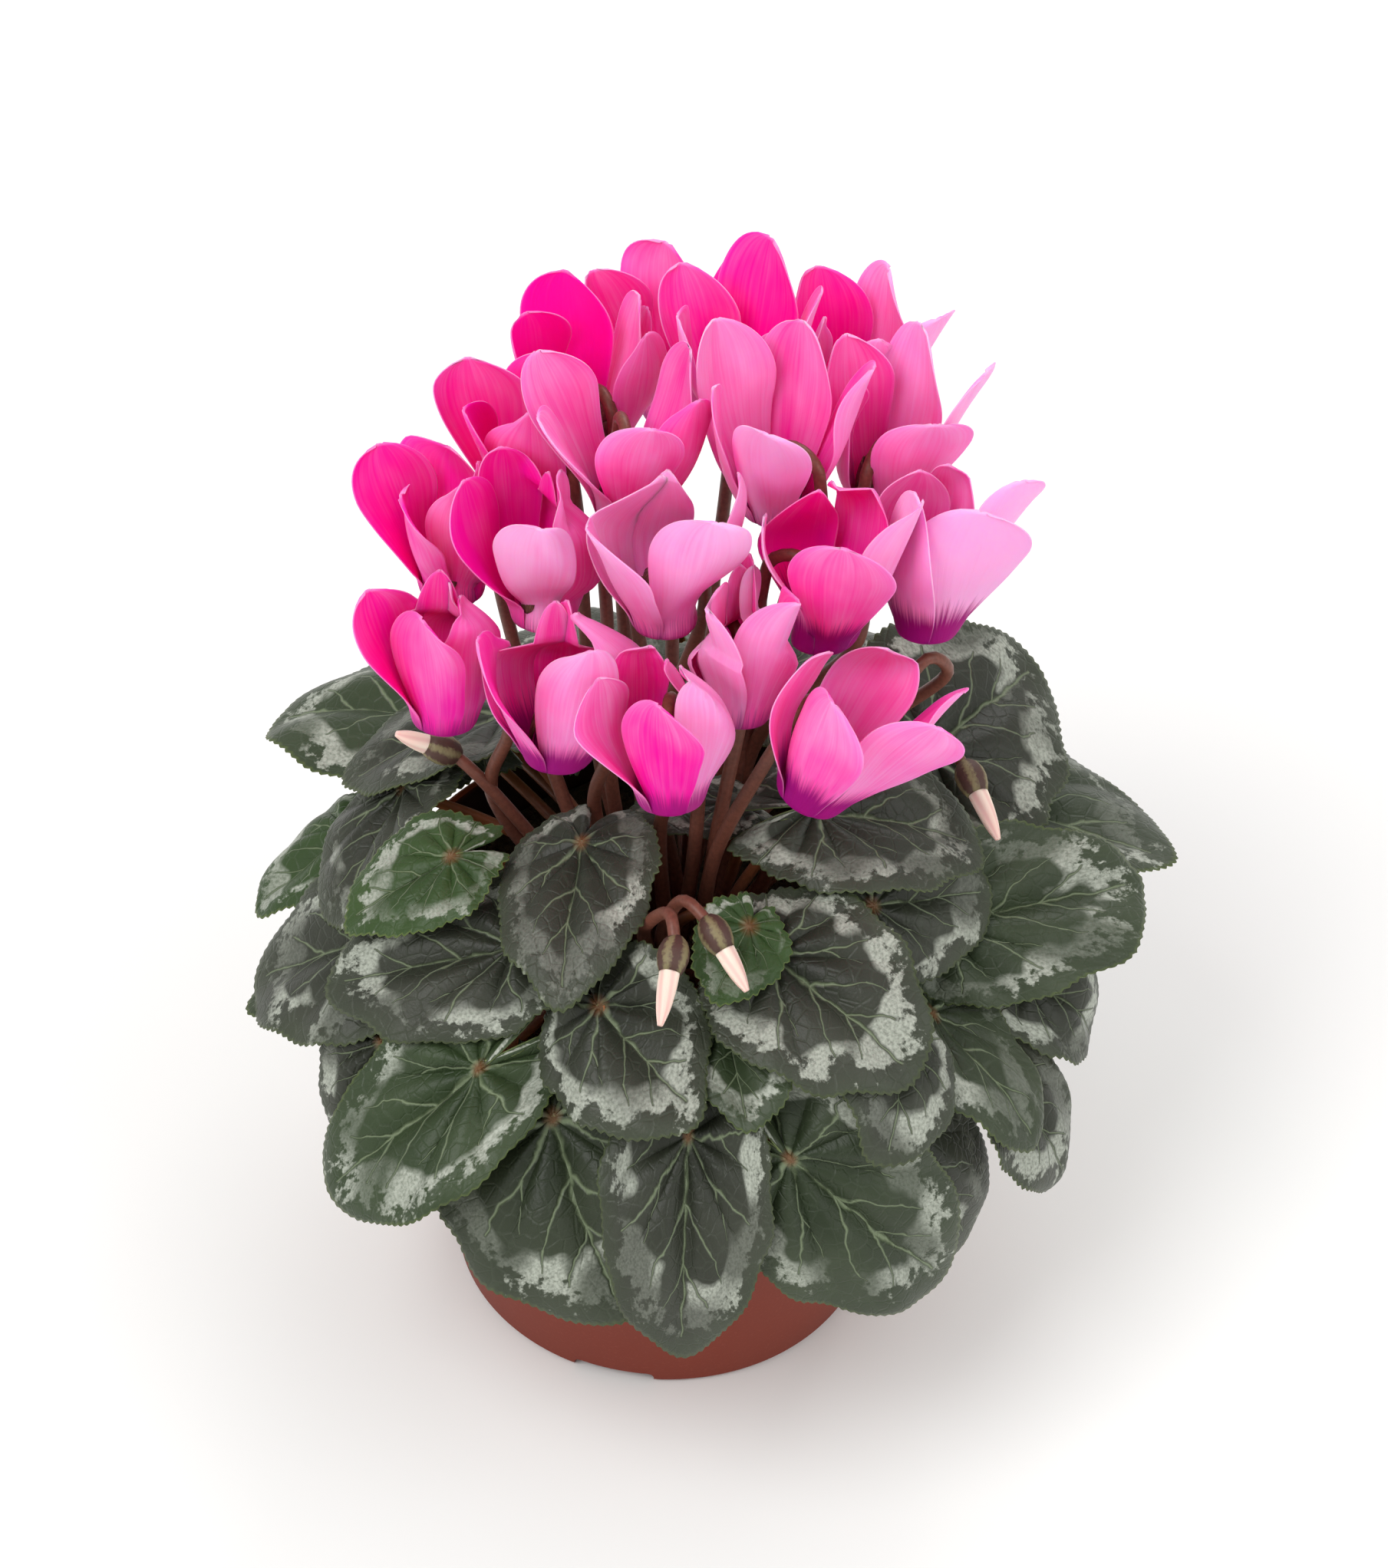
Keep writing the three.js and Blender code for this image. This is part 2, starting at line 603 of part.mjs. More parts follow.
// Triangles between two rows of vertices, of two or three columns each.
function stripFaces(lower, upper) {
  const last = upper.length - 1;
  const faces = [];
  if (lower.length === upper.length) {
    for (let k = 0; k < last; k++) {
      faces.push([lower[k], lower[k + 1], upper[k + 1]], [lower[k], upper[k + 1], upper[k]]);
    }
  } else {
    faces.push([lower[0], upper[1], upper[0]]);
    faces.push([lower[0], lower[1], upper[1]]);
    faces.push([lower[1], upper[2], upper[1]]);
  }
  return faces;
}

function petalGeometry(row, order) {
  const frame = bloomFrame(row);
  const angle = petalAngle(order);
  const radial = inBloom(frame, 1, angle, 0).sub(frame.nose);
  const tangent = frame.axis.clone().cross(radial);
  const points = [];
  const rows = [];
  const faces = [];
  const [, hinge] = petalStations;
  petalStations.forEach(({ way, reach, height, half, columns, cap }, i) => {
    const opened = way > hinge.way ? hinge.reach + (reach - hinge.reach) * row.open : reach;
    const twist = degrees(petalTwist) * Math.max(0, way - 0.1);
    const across = tangent.clone().multiplyScalar(Math.cos(twist)).addScaledVector(radial, Math.sin(twist));
    const facing = radial.clone().multiplyScalar(Math.cos(twist)).addScaledVector(tangent, -Math.sin(twist));
    const scale = i > 1 ? row.size : 1;
    const shares = columns === 3 ? [-1, 0, 1] : [-1, 1];
    rows.push(shares.map((share, k) => points.length + k));
    for (const share of shares) {
      const point = frame.nose.clone()
        .addScaledVector(radial, opened * scale)
        .addScaledVector(frame.axis, (height + cap * (1 - share * share)) * scale)
        .addScaledVector(across, share * half * scale)
        .addScaledVector(facing, -petalCup * half * share * share * scale);
      points.push(i > 1 ? drawnIn(point, row, frame) : point);
    }
  });
  for (let i = 0; i + 1 < rows.length; i++) {
    faces.push(...stripFaces(rows[i], rows[i + 1]));
  }
  return thickened(points, faces, petalThickness);
}

function tubeGeometry(row) {
  const frame = bloomFrame(row);
  const geometry = turned([
    [0, tubeHeight - 1],
    [4.6, 0.4],
    [5.8, 0.4],
    [3.9, tubeHeight],
    [0, tubeHeight],
  ], tubeSides);
  const basis = new THREE.Matrix4().makeBasis(frame.door, frame.side, frame.axis);
  return geometry.applyMatrix4(basis).translate(frame.nose.x, frame.nose.y, frame.nose.z);
}

function bloomGeometry(row) {
  let solid = solidOf(tubeGeometry(row));
  for (let order = 0; order < petalCount; order++) {
    solid = solid.add(solidOf(petalGeometry(row, order)));
  }
  return geometryOf(solid.simplify(blendSlack));
}

// The calyx seated on the bloom's tube, and the stalk that hooks over from it and runs down to the corm.
function bloomStalk(row, order) {
  const frame = bloomFrame(row);
  const seat = tubeHeight + seatGap;
  const calyx = turned([
    [0, seat],
    [calyxRadius - 0.5, seat],
    [calyxRadius, seat + 1.2],
    [stalkRadius, seat + calyxHeight],
    [0, seat + calyxHeight],
  ], calyxSides);
  const basis = new THREE.Matrix4().makeBasis(frame.door, frame.side, frame.axis);
  calyx.applyMatrix4(basis).translate(frame.nose.x, frame.nose.y, frame.nose.z);
  const base = seat + calyxHeight - 1;
  const points = [];
  for (const turn of hookTurns) {
    const angle = degrees(turn);
    points.push(inBloom(frame, hookRadius * (1 - Math.cos(angle)), 0, base + hookRadius * Math.sin(angle)));
  }
  const under = inBloom(frame, 2 * hookRadius + 1.6, 0, -4);
  const start = crownStart(under, order + 0.5);
  const waist = new THREE.Vector3(...row.waist, waistHeight);
  const run = new THREE.CatmullRomCurve3([inBloom(frame, 2 * hookRadius + 0.6, 0, 7), under, waist, start]);
  points.push(...run.getPoints(4));
  return [calyx, tube(points, points.map(() => stalkRadius), stalkSides)];
}

function budGeometry(row) {
  const calyx = vector(row.calyx);
  const tip = vector(row.tip);
  const along = tip.clone().sub(calyx).normalize();
  const length = calyx.distanceTo(tip);
  const points = budShares.map((share) =>
    calyx.clone().addScaledVector(along, budSeat + share * (length - budSeat)));
  return geometryOf(solidOf(tube(points, budRadii, budSides)));
}

function budStalk(row, order) {
  const calyx = vector(row.calyx);
  const tip = vector(row.tip);
  const along = tip.clone().sub(calyx).normalize();
  const cup = [-2.5, -1, 1, budSeat - seatGap].map((way) => calyx.clone().addScaledVector(along, way));
  const bend = vector(row.bend);
  const start = crownStart(bend, order + 0.25);
  const run = new THREE.CatmullRomCurve3([cup[1], bend, vector(row.waist), start]).getPoints(6);
  return [
    tube(cup, budCup, budSides),
    tube(run, run.map(() => stalkRadius), stalkSides),
  ];
}

// Assembly
const blades = [];
leafRows.forEach((row, index) => {
  const blade = bladeOf(row, index);
  tuckUnder(blade, blades);
  blades.push(blade);
});

function stalksGeometry() {
  let solid = solidOf(cormGeometry());
  const parts = [
    ...blades.map((blade, i) => petiole(blade, leafRows[i], i)),
    ...bloomRows.flatMap((row, i) => bloomStalk(row, i)),
    ...budRows.flatMap((row, i) => budStalk(row, i)),
  ];
  for (const part of parts) {
    solid = solid.add(solidOf(part));
  }
  const [whole] = solid.simplify(blendSlack).decompose().sort((a, b) => b.volume() - a.volume());
  return geometryOf(whole);
}

const group = new THREE.Group();

function addPiece(name, geometry, finish) {
  const mesh = new THREE.Mesh(geometry, finish);
  mesh.name = name;
  group.add(mesh);
}

const numbered = (name, index) => `${name}_${String(index + 1).padStart(2, "0")}`;

addPiece("pot", potGeometry(), materials.pot);
addPiece("soil", soilGeometry(), materials.soil);
addPiece("corm_with_stalks", stalksGeometry(), materials.stalk);
blades.forEach((blade, i) => {
  addPiece(numbered("leaf", i), thickened(blade.points, blade.faces, bladeThickness), materials.leaf);
});
bloomRows.forEach((row, i) => {
  addPiece(numbered("bloom", i), bloomGeometry(row), materials.petal);
});
budRows.forEach((row, i) => {
  addPiece(numbered("bud", i), budGeometry(row), materials.bud);
});

export default group;
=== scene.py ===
import math

import bpy
import numpy as np
from mathutils import Matrix, Vector
from mathutils.bvhtree import BVHTree


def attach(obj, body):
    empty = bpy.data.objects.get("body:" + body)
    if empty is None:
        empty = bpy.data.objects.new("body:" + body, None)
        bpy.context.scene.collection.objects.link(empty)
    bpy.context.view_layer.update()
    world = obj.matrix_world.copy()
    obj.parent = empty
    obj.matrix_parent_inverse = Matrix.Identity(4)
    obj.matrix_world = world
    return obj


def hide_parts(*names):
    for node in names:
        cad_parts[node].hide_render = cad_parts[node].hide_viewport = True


# A cyclamen in bloom in a nursery pot. Sizes here are millimetres, and the meshes are made in metres.
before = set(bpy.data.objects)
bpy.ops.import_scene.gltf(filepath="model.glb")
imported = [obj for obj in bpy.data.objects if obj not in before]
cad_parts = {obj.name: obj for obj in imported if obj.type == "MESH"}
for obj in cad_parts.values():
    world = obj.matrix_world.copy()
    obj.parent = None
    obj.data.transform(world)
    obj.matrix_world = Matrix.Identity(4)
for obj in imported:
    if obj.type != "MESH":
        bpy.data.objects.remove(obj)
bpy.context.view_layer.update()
mm = 0.001

# Camera, at the photograph's viewing angle
cameraView = {
    "target": (2.2, 0.0, 131.4),
    "distance": 1000.0,
    "elevation": 44.0,
    "roll": 2.75,
    "focalLength": 116.9,
    "longSide": 36.0,
    "farthest": 20,
}


def newObject(name, data):
    thing = bpy.data.objects.new(name, data)
    bpy.context.scene.collection.objects.link(thing)
    return thing


def makeCamera(view):
    camera = newObject("camera", bpy.data.cameras.new("camera"))
    camera.data.sensor_width = view["longSide"]
    camera.data.lens = view["focalLength"]
    camera.data.clip_end = view["farthest"]
    tilt = math.radians(view["elevation"])
    away = Vector((0, -math.cos(tilt), math.sin(tilt)))
    place = Matrix.Translation((Vector(view["target"]) + away * view["distance"]) * mm)
    pitch = Matrix.Rotation(math.pi / 2 - tilt, 4, "X")
    camera.matrix_world = place @ pitch @ Matrix.Rotation(math.radians(view["roll"]), 4, "Z")
    bpy.context.scene.camera = camera


makeCamera(cameraView)


# Nodes and materials
def linear(hexColour):
    channels = [int(hexColour[i:i + 2], 16) / 255 for i in (1, 3, 5)]
    return tuple(c / 12.92 if c <= 0.04045 else ((c + 0.055) / 1.055) ** 2.4 for c in channels) + (1.0,)


inColour = {"output": 2, "data_type": "RGBA"}  # for a mix of colours: its share is input 0, and they are 6 and 7


def addNode(tree, kind, *values, output=0, **settings):
    # The inputs come in their order, or as one dictionary. Gives one output, or all of them where output is None.
    node = tree.nodes.new(kind)
    for name, value in settings.items():
        setattr(node, name, value)
    inputs = values[0] if values and isinstance(values[0], dict) else dict(enumerate(values))
    for name, value in inputs.items():
        if isinstance(value, bpy.types.NodeSocket):
            tree.links.new(value, node.inputs[name])
        else:
            node.inputs[name].default_value = linear(value) if str(value).startswith("#") else value
    return node.outputs if output is None else node.outputs[output]


def newMaterial(name, **values):
    # values are for the shader's sockets, with _ for a space
    material = bpy.data.materials.new(name)
    material.use_nodes = True
    shader = material.node_tree.nodes["Principled BSDF"]
    for socket, value in values.items():
        shader.inputs[socket.replace("_", " ")].default_value = value
    return material, material.node_tree


def finishMaterial(material, colour, relief=None, strength=0.0, depth=0.0):
    tree = material.node_tree
    shader = tree.nodes["Principled BSDF"]
    tree.links.new(colour, shader.inputs["Base Color"])
    if relief:
        bump = addNode(tree, "ShaderNodeBump", {"Height": relief, "Strength": strength, "Distance": depth * mm})
        tree.links.new(bump, shader.inputs["Normal"])
    return material


# Meshes and pieces
def unit(vector):
    return vector / np.linalg.norm(vector, axis=-1, keepdims=True)


def smoothStep(value, low, high):
    t = np.clip((value - low) / (high - low), 0, 1)
    return t * t * (3 - 2 * t)


def turned(angles, radii, heights):
    # points round the z axis, a ring for each radius and height
    x = radii * np.cos(angles)
    return np.stack([x, radii * np.sin(angles), heights + 0 * x], -1).reshape(-1, 3)


def emptyParts():
    return {"points": [], "faces": [], "slots": [], "values": {}, "count": 0}


def addPart(parts, points, faces, slot=0, **values):
    points = np.asarray(points, float).reshape(-1, 3)
    parts["faces"] += [[corner + parts["count"] for corner in face] for face in faces]
    parts["slots"] += [slot] * len(faces)
    parts["points"].append(points)
    for name in {**parts["values"], **values}:
        known = parts["values"].setdefault(name, [np.zeros(parts["count"])])
        known.append(np.broadcast_to(np.asarray(values.get(name, 0.0), float), (len(points),)))
    parts["count"] += len(points)


def addAttribute(mesh, name, values, kind="FLOAT"):
    attribute = mesh.attributes.new(name, kind, "POINT")
    channel = "value" if kind == "FLOAT" else "vector"
    attribute.data.foreach_set(channel, np.asarray(values).astype(np.float32).ravel())


def makePiece(name, parts, materials):
    mesh = bpy.data.meshes.new(name)
    mesh.from_pydata((np.concatenate(parts["points"]) * mm).tolist(), [], parts["faces"])
    mesh.polygons.foreach_set("material_index", parts["slots"])
    for attributeName, chunks in parts["values"].items():
        addAttribute(mesh, attributeName, np.concatenate(chunks))
    for material in materials:
        mesh.materials.append(material)
    mesh.shade_smooth()
    return newObject(name, mesh)


def onePart(name, points, faces, materials, slot=0, **values):
    parts = emptyParts()
    addPart(parts, points, faces, slot, **values)
    return makePiece(name, parts, materials)


def dress(piece, slot, *nodes):
    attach(piece, "root")
    if nodes:
        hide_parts(*nodes)


def latheFaces(rings, sides, closed=True):
    faces = []
    for first in range(0, (rings - 1) * sides, sides):
        for i in range(sides):
            k = (i + 1) % sides
            faces.append([first + i, first + k, first + sides + k, first + sides + i])
    last = (rings - 1) * sides
    return faces + [list(range(sides))[::-1], list(range(last, last + sides))] if closed else faces


def ringAngles(sides):
    return 2 * np.pi * np.arange(sides) / sides


def lathe(profile, sides, origin=(0, 0, 0), basis=np.eye(3)):
    radii, heights = np.array(profile, float).T[..., None]
    points = np.asarray(origin) + turned(ringAngles(sides), radii, heights) @ np.asarray(basis)
    return points, latheFaces(len(profile), sides)


def evaluatedMesh(thing):
    bpy.context.view_layer.update()
    return bpy.data.meshes.new_from_object(thing.evaluated_get(bpy.context.evaluated_depsgraph_get()))


def growPiece(name, source, settings, material, build):
    # A piece grown on a source mesh by geometry nodes: build adds them and gives the last geometry
    tree = bpy.data.node_groups.new(name, "GeometryNodeTree")
    for way in ("INPUT", "OUTPUT"):
        tree.interface.new_socket("Geometry", in_out=way, socket_type="NodeSocketGeometry")
    for label in settings:
        kind = "NodeSocketInt" if isinstance(settings[label], int) else "NodeSocketFloat"
        tree.interface.new_socket(label, in_out="INPUT", socket_type=kind)
    geometry = build(tree, addNode(tree, "NodeGroupInput", output=None))
    real = addNode(tree, "GeometryNodeRealizeInstances", geometry)
    dressed = addNode(tree, "GeometryNodeSetMaterial", {"Geometry": real, "Material": material})
    addNode(tree, "NodeGroupOutput", dressed, output=None)
    holder = newObject(name, source)
    modifier = holder.modifiers.new("nodes", "NODES")
    modifier.node_group = tree
    for socket in tree.interface.items_tree:
        if socket.name in settings:
            modifier[socket.identifier] = settings[socket.name]
    mesh = evaluatedMesh(holder)
    mesh.name = name
    bpy.data.objects.remove(holder)
    mesh.shade_smooth()
    return newObject(name, mesh)


# Leaf blades, the topmost first: joint with the stalk, tip, width, arch, droop and wave as in the solids.
# Then what sets a blade apart: how its stalk swings and flattens, how upright its face is, how young it is.
leafShape = {
    "heart": (0.62, 0.24, 0.1, 0, 0.04),
    "notchHalfAngle": 0.245,
    "notchDepth": 0.9,
    "halfWidth": 0.59,
    "lobeBend": 1.7,
    "waveCount": 3,
    "wavePhase": 2.4,
    "domeCentre": (0, 0, 80),
    "domeReach": 300,
    "smoothedAlong": 30,
    "smoothedOutwards": 2,
    "outlineSteps": 2001,
    "thickness": 0.6,
    "edgeThickness": 0.28,
    "toothPitch": 1.9,
    "toothHeight": 0.6,
    "toothProfile": (-0.5, 0.25, 0.6, 0.0),
    "toothSizes": (0.65, 1.25),
    "tipPoint": 0.09,
    "tipSpread": 0.24,
    "edgeLobes": 0.016,
    "rings": (0.05, 0.12, 0.2, 0.3, 0.4, 0.5, 0.59, 0.68, 0.76, 0.83, 0.89, 0.935, 0.97, 1.0),
    "usualLength": 36,
    "cushion": 1.5,
    "midribFold": 1.6,
    "midribWidth": 4.5,
    "ruffle": 0.7,
    "veinAngle": 36,
    "usualYouth": 0.05,
}
leafColumns = ("joint", "tip", "wide", "arch", "droop", "wave")
leafRows = [dict(zip(leafColumns, row), **more) for *row, more in (
    ((-44, -23, 131), (-63, -28, 118), 0.92, 1.5, 1.5, 0.8, {"swing": 6, "flat": 0.6, "young": 0.9}),
    ((-19, -22, 136), (-21, -52, 125), 0.85, 3, 2, 1.2, {}),
    ((26, -12, 138), (58, -6, 126), 0.9, 3, 2, 1.5, {"lift": 0.1}),
    ((10, 2, 125), (-9, -2, 124), 0.75, 1, 1, 0.8, {}),
    ((-36, 19, 130), (-66, 12, 118), 1, 3, 2, 1.5, {"lift": 0.1}),
    ((-58, 5, 124), (-70, -21, 111), 0.85, 3, 2, 1.5, {}),
    ((14, -37, 130), (8, -50, 124), 1.05, 0.5, -1, 0.6, {"swing": 14, "flat": 0.8, "young": 1}),
    ((20, -42, 128), (46, -56, 113), 1.05, 3, 2, 1.2, {}),
    ((-34, -40, 125), (-65, -35, 107), 0.82, 3, 2, 1.5, {}),
    ((-15, -53, 122), (5, -70, 111), 1.1, 2, 2, 1, {}),
    ((-44, -66, 111), (-66, -63, 78), 0.82, 4, 3, 1.5, {"swing": 3, "young": 0.5}),
    ((38, -24, 124), (60, -10, 115), 1, 2, 2, 1, {}),
    ((62, -19, 118), (93, 4, 107), 0.85, 4, 2, 1.5, {"lift": 0.1, "young": 0.35}),
    ((50, 24, 121), (71, 53, 118), 1.2, 3, 2, 1.5, {}),
    ((14, 38, 126), (34, 66, 114), 1, 3, 2, 1.5, {}),
    ((-20, 36, 126), (-22, 72, 114), 1, 3, 2, 1.5, {}),
    ((-50, 36, 117), (-83, 45, 101), 1.1, 3, 2, 1.2, {"lift": 0.6, "young": 0.4}),
    ((64, 34, 107), (99, 22, 97), 1.25, 1, 2, 1.2, {"lift": 0.5, "young": 0.3}),
    ((-58, -26, 114), (-85, -17, 89), 1, 3, 2, 1.5, {"lift": 0.2}),
    ((-70, 10, 107), (-85, 3, 89), 1, 2, 1, 1, {"young": 0.8}),
    ((12, -54, 118), (16, -70, 109), 1.1, 1, 1, 1, {"lift": 0.4, "young": 0.4}),
    ((46, -46, 113), (43, -67, 99), 0.95, 3, 2, 1.5, {"swing": 8}),
    ((62, -37, 106), (72, -47, 84), 1, 3, 2, 1.5, {"young": 0.3}),
    ((75, -17, 99), (86, -13, 79), 1, 2, 2, 1.5, {}),
    ((-62, -22, 104), (-88, -20, 84), 0.62, 1.5, 2, 1.2, {"lift": 0.6, "flat": 0.5, "young": 0.4}),
    ((5, -75, 104), (5, -84, 61), 0.68, 3, 3, 1, {"swing": 6}),
    ((-59, -46, 101), (-66, -52, 79), 0.9, 3, 2, 1.2, {}),
    ((-27, -72, 101), (-7, -87, 67), 1.1, 3, 2, 1.5, {"swing": -8, "young": 0.2}),
    ((29, -78, 98), (56, -65, 62), 0.85, 4, 2, 1.5, {"young": 0.3}),
    ((77, -40, 92), (80, -37, 64), 1, 3, 2, 1.5, {}),
    ((51, -64, 96), (63, -52, 58), 0.9, 3, 2, 1.5, {}),
    ((-41, -74, 96), (-34, -73, 60), 0.5, 3, 2, 1.3, {"young": 0.4}),
    ((46, 58, 106), (62, 76, 78), 1.2, 3, 2, 1.5, {}),
    ((-2, 70, 108), (-2, 92, 77), 1.3, 3, 2, 1.5, {}),
    ((-49, 56, 106), (-62, 73, 78), 1.25, 3, 2, 1.5, {}),
)]

# Veins in shares of the blade's length: from, to, and how wide they start. The other half mirrors them.
bladeVeins = [
    ((0, 0), (0.97, 0), 0.012),
    ((0.3, 0), (0.54, 0.2), 0.007),
    ((0.54, 0.2), (0.66, 0.24), 0.004),
    ((0.56, 0), (0.78, 0.15), 0.006),
    ((0, 0), (0.22, 0.2), 0.009),
    ((0.22, 0.2), (0.38, 0.42), 0.006),
    ((0.22, 0.2), (0.44, 0.28), 0.004),
    ((0, 0), (0.02, 0.24), 0.008),
    ((0.02, 0.24), (-0.02, 0.46), 0.005),
    ((0.02, 0.24), (0.15, 0.42), 0.004),
    ((0, 0), (-0.18, 0.2), 0.007),
    ((-0.18, 0.2), (-0.3, 0.36), 0.004),
]
bladeLook = {
    "darkTissue": "#15160f",
    "greyTissue": "#42443b",
    "freshTissue": "#223a18",
    "limeTissue": "#3d5627",
    "underside": "#6d7a4c",
    "underVeins": "#8c6a52",
    "silver": "#b0b5a8",
    "veins": "#8a9877",
    "fineVeins": "#66755c",
    "joint": "#6b3f1e",
    "rim": "#65743a",
    "veinEdges": (0.15, 2.3),
    "veinTint": 0.55,
    "fineVeinTint": 0.05,
    "fineVeinsPerMm": 0.33,
    "veinTaper": -0.6,
    "stray": 0.09,
    "marginGreen": 0.2,
    "bandInner": (0.96, 1.03),
    "bandOuter": (0.21, 0.27),
    "bandGaps": (1.2, 4.5, 0.15, 1.0),
    "bandPresence": (0.4, 0.54, 0.25, 1.0),
    "silvering": (0.3, 0.62, 0.42, 0.92),
    "jointSpot": (0.6, 2.4, 0.8, 0.0),
    "relief": (0.75, 0.4),
}


def bladeMaterial(veins, look):
    # A living leaf: waxy skin over green tissue, with air under the skin where it looks silver
    material, tree = newMaterial("waxy cyclamen leaf blade", Roughness=0.44, IOR=1.4, Specular_IOR_Level=0.4,
                                 Sheen_Weight=0.03, Sheen_Roughness=0.4)
    across, along, share, length, young, under, order = (
        addNode(tree, "ShaderNodeAttribute", output="Fac", attribute_name="blade" + name)
        for name in ("Across", "Along", "Share", "Length", "Young", "Under", "Order"))
    flat = addNode(tree, "ShaderNodeCombineXYZ", along, across, order)
    place = addNode(tree, "ShaderNodeVectorMath", {0: flat, "Scale": length}, operation="SCALE")
    # The veins stray a little from their straight lines, differently on each half
    stray = addNode(tree, "ShaderNodeTexNoise", {"Vector": place, "Scale": 0.16}, output="Color")
    offset = addNode(tree, "ShaderNodeVectorMath", stray, (0.5, 0.5, 0.5), operation="SUBTRACT")
    shares = (look["stray"], look["stray"], 0)
    strayed = addNode(tree, "ShaderNodeVectorMath", offset, shares, flat, operation="MULTIPLY_ADD")
    split = addNode(tree, "ShaderNodeSeparateXYZ", strayed, output=None)
    mirrored = addNode(tree, "ShaderNodeMath", split["Y"], operation="ABSOLUTE")
    spot = addNode(tree, "ShaderNodeCombineXYZ", split["X"], mirrored)
    nearest = None
    for start, end, width in veins:
        run = (end[0] - start[0], end[1] - start[1], 0)
        squared = run[0] ** 2 + run[1] ** 2
        fromStart = addNode(tree, "ShaderNodeVectorMath", spot, (*start, 0), operation="SUBTRACT")
        reached = addNode(tree, "ShaderNodeVectorMath", fromStart, run, output="Value", operation="DOT_PRODUCT")
        way = addNode(tree, "ShaderNodeMath", reached, squared, operation="DIVIDE", use_clamp=True)
        foot = addNode(tree, "ShaderNodeVectorMath", {0: run, "Scale": way}, operation="SCALE")
        gap = addNode(tree, "ShaderNodeVectorMath", fromStart, foot, output="Value", operation="DISTANCE")
        breadth = addNode(tree, "ShaderNodeMath", way, look["veinTaper"] * width, width, operation="MULTIPLY_ADD")
        ratio = addNode(tree, "ShaderNodeMath", gap, breadth, operation="DIVIDE")
        nearest = addNode(tree, "ShaderNodeMath", nearest, ratio, operation="MINIMUM") if nearest else ratio
    vein = addNode(tree, "ShaderNodeMapRange", nearest, *look["veinEdges"], 1.0, 0.0, interpolation_type="SMOOTHSTEP")
    # A net of fine veins about 3 mm apart
    cells = {"Vector": place, "Scale": look["fineVeinsPerMm"]}
    net = addNode(tree, "ShaderNodeTexVoronoi", cells, feature="DISTANCE_TO_EDGE")
    fineVein = addNode(tree, "ShaderNodeMapRange", net, 0.0, 0.09, 1.0, 0.0)
    # Tissue: dark in the middle, greyer outwards and a little greener at the margin
    patch = addNode(tree, "ShaderNodeTexNoise", {"Vector": place, "Scale": 0.07, "Detail": 3.0})
    greying = addNode(tree, "ShaderNodeMath", share, 0.75, -0.3, operation="MULTIPLY_ADD")
    patched = addNode(tree, "ShaderNodeMath", patch, 0.8, greying, operation="MULTIPLY_ADD", use_clamp=True)
    dark = addNode(tree, "ShaderNodeMix", {0: patched, 6: look["darkTissue"], 7: look["greyTissue"]}, **inColour)
    fresh = addNode(tree, "ShaderNodeMix", {0: patch, 6: look["freshTissue"], 7: look["limeTissue"]}, **inColour)
    margin = addNode(tree, "ShaderNodeMapRange", share, 0.75, 1.0, 0.0, look["marginGreen"])
    greener = addNode(tree, "ShaderNodeMath", young, margin, operation="MAXIMUM")
    tissue = addNode(tree, "ShaderNodeMix", {0: greener, 6: dark, 7: fresh}, **inColour)
    # The silver band: smooth inner edge, torn and speckled outer edge
    lobes = addNode(tree, "ShaderNodeTexNoise", {"Vector": place, "Scale": 0.11, "Detail": 1.5})
    torn = addNode(tree, "ShaderNodeTexNoise", {"Vector": place, "Scale": 0.42, "Detail": 5.0, "Roughness": 0.62})
    moved = addNode(tree, "ShaderNodeMath", lobes, 0.6, share, operation="MULTIPLY_ADD")
    inner = addNode(tree, "ShaderNodeMapRange", moved, *look["bandInner"])
    ragged = addNode(tree, "ShaderNodeMath", torn, -0.7, share, operation="MULTIPLY_ADD")
    breaks = addNode(tree, "ShaderNodeMath", lobes, -0.5, ragged, operation="MULTIPLY_ADD")
    outer = addNode(tree, "ShaderNodeMapRange", breaks, *look["bandOuter"], 1.0, 0.0)
    # It has a dark gap where a larger vein crosses it, and is faint or missing along parts of the blade
    crossed = addNode(tree, "ShaderNodeMapRange", nearest, *look["bandGaps"])
    stretches = addNode(tree, "ShaderNodeTexNoise", {"Vector": place, "Scale": 0.055, "Detail": 0.0})
    present = addNode(tree, "ShaderNodeMapRange", stretches, *look["bandPresence"])
    grain = addNode(tree, "ShaderNodeTexNoise", {"Vector": place, "Scale": 1.6, "Detail": 3.0})
    speckled = addNode(tree, "ShaderNodeMapRange", grain, *look["silvering"])
    silver = inner
    for factor in (outer, crossed, present, speckled):
        silver = addNode(tree, "ShaderNodeMath", silver, factor, operation="MULTIPLY")
    veinTint = addNode(tree, "ShaderNodeMath", vein, look["veinTint"], operation="MULTIPLY")
    netTint = addNode(tree, "ShaderNodeMath", fineVein, look["fineVeinTint"], operation="MULTIPLY")
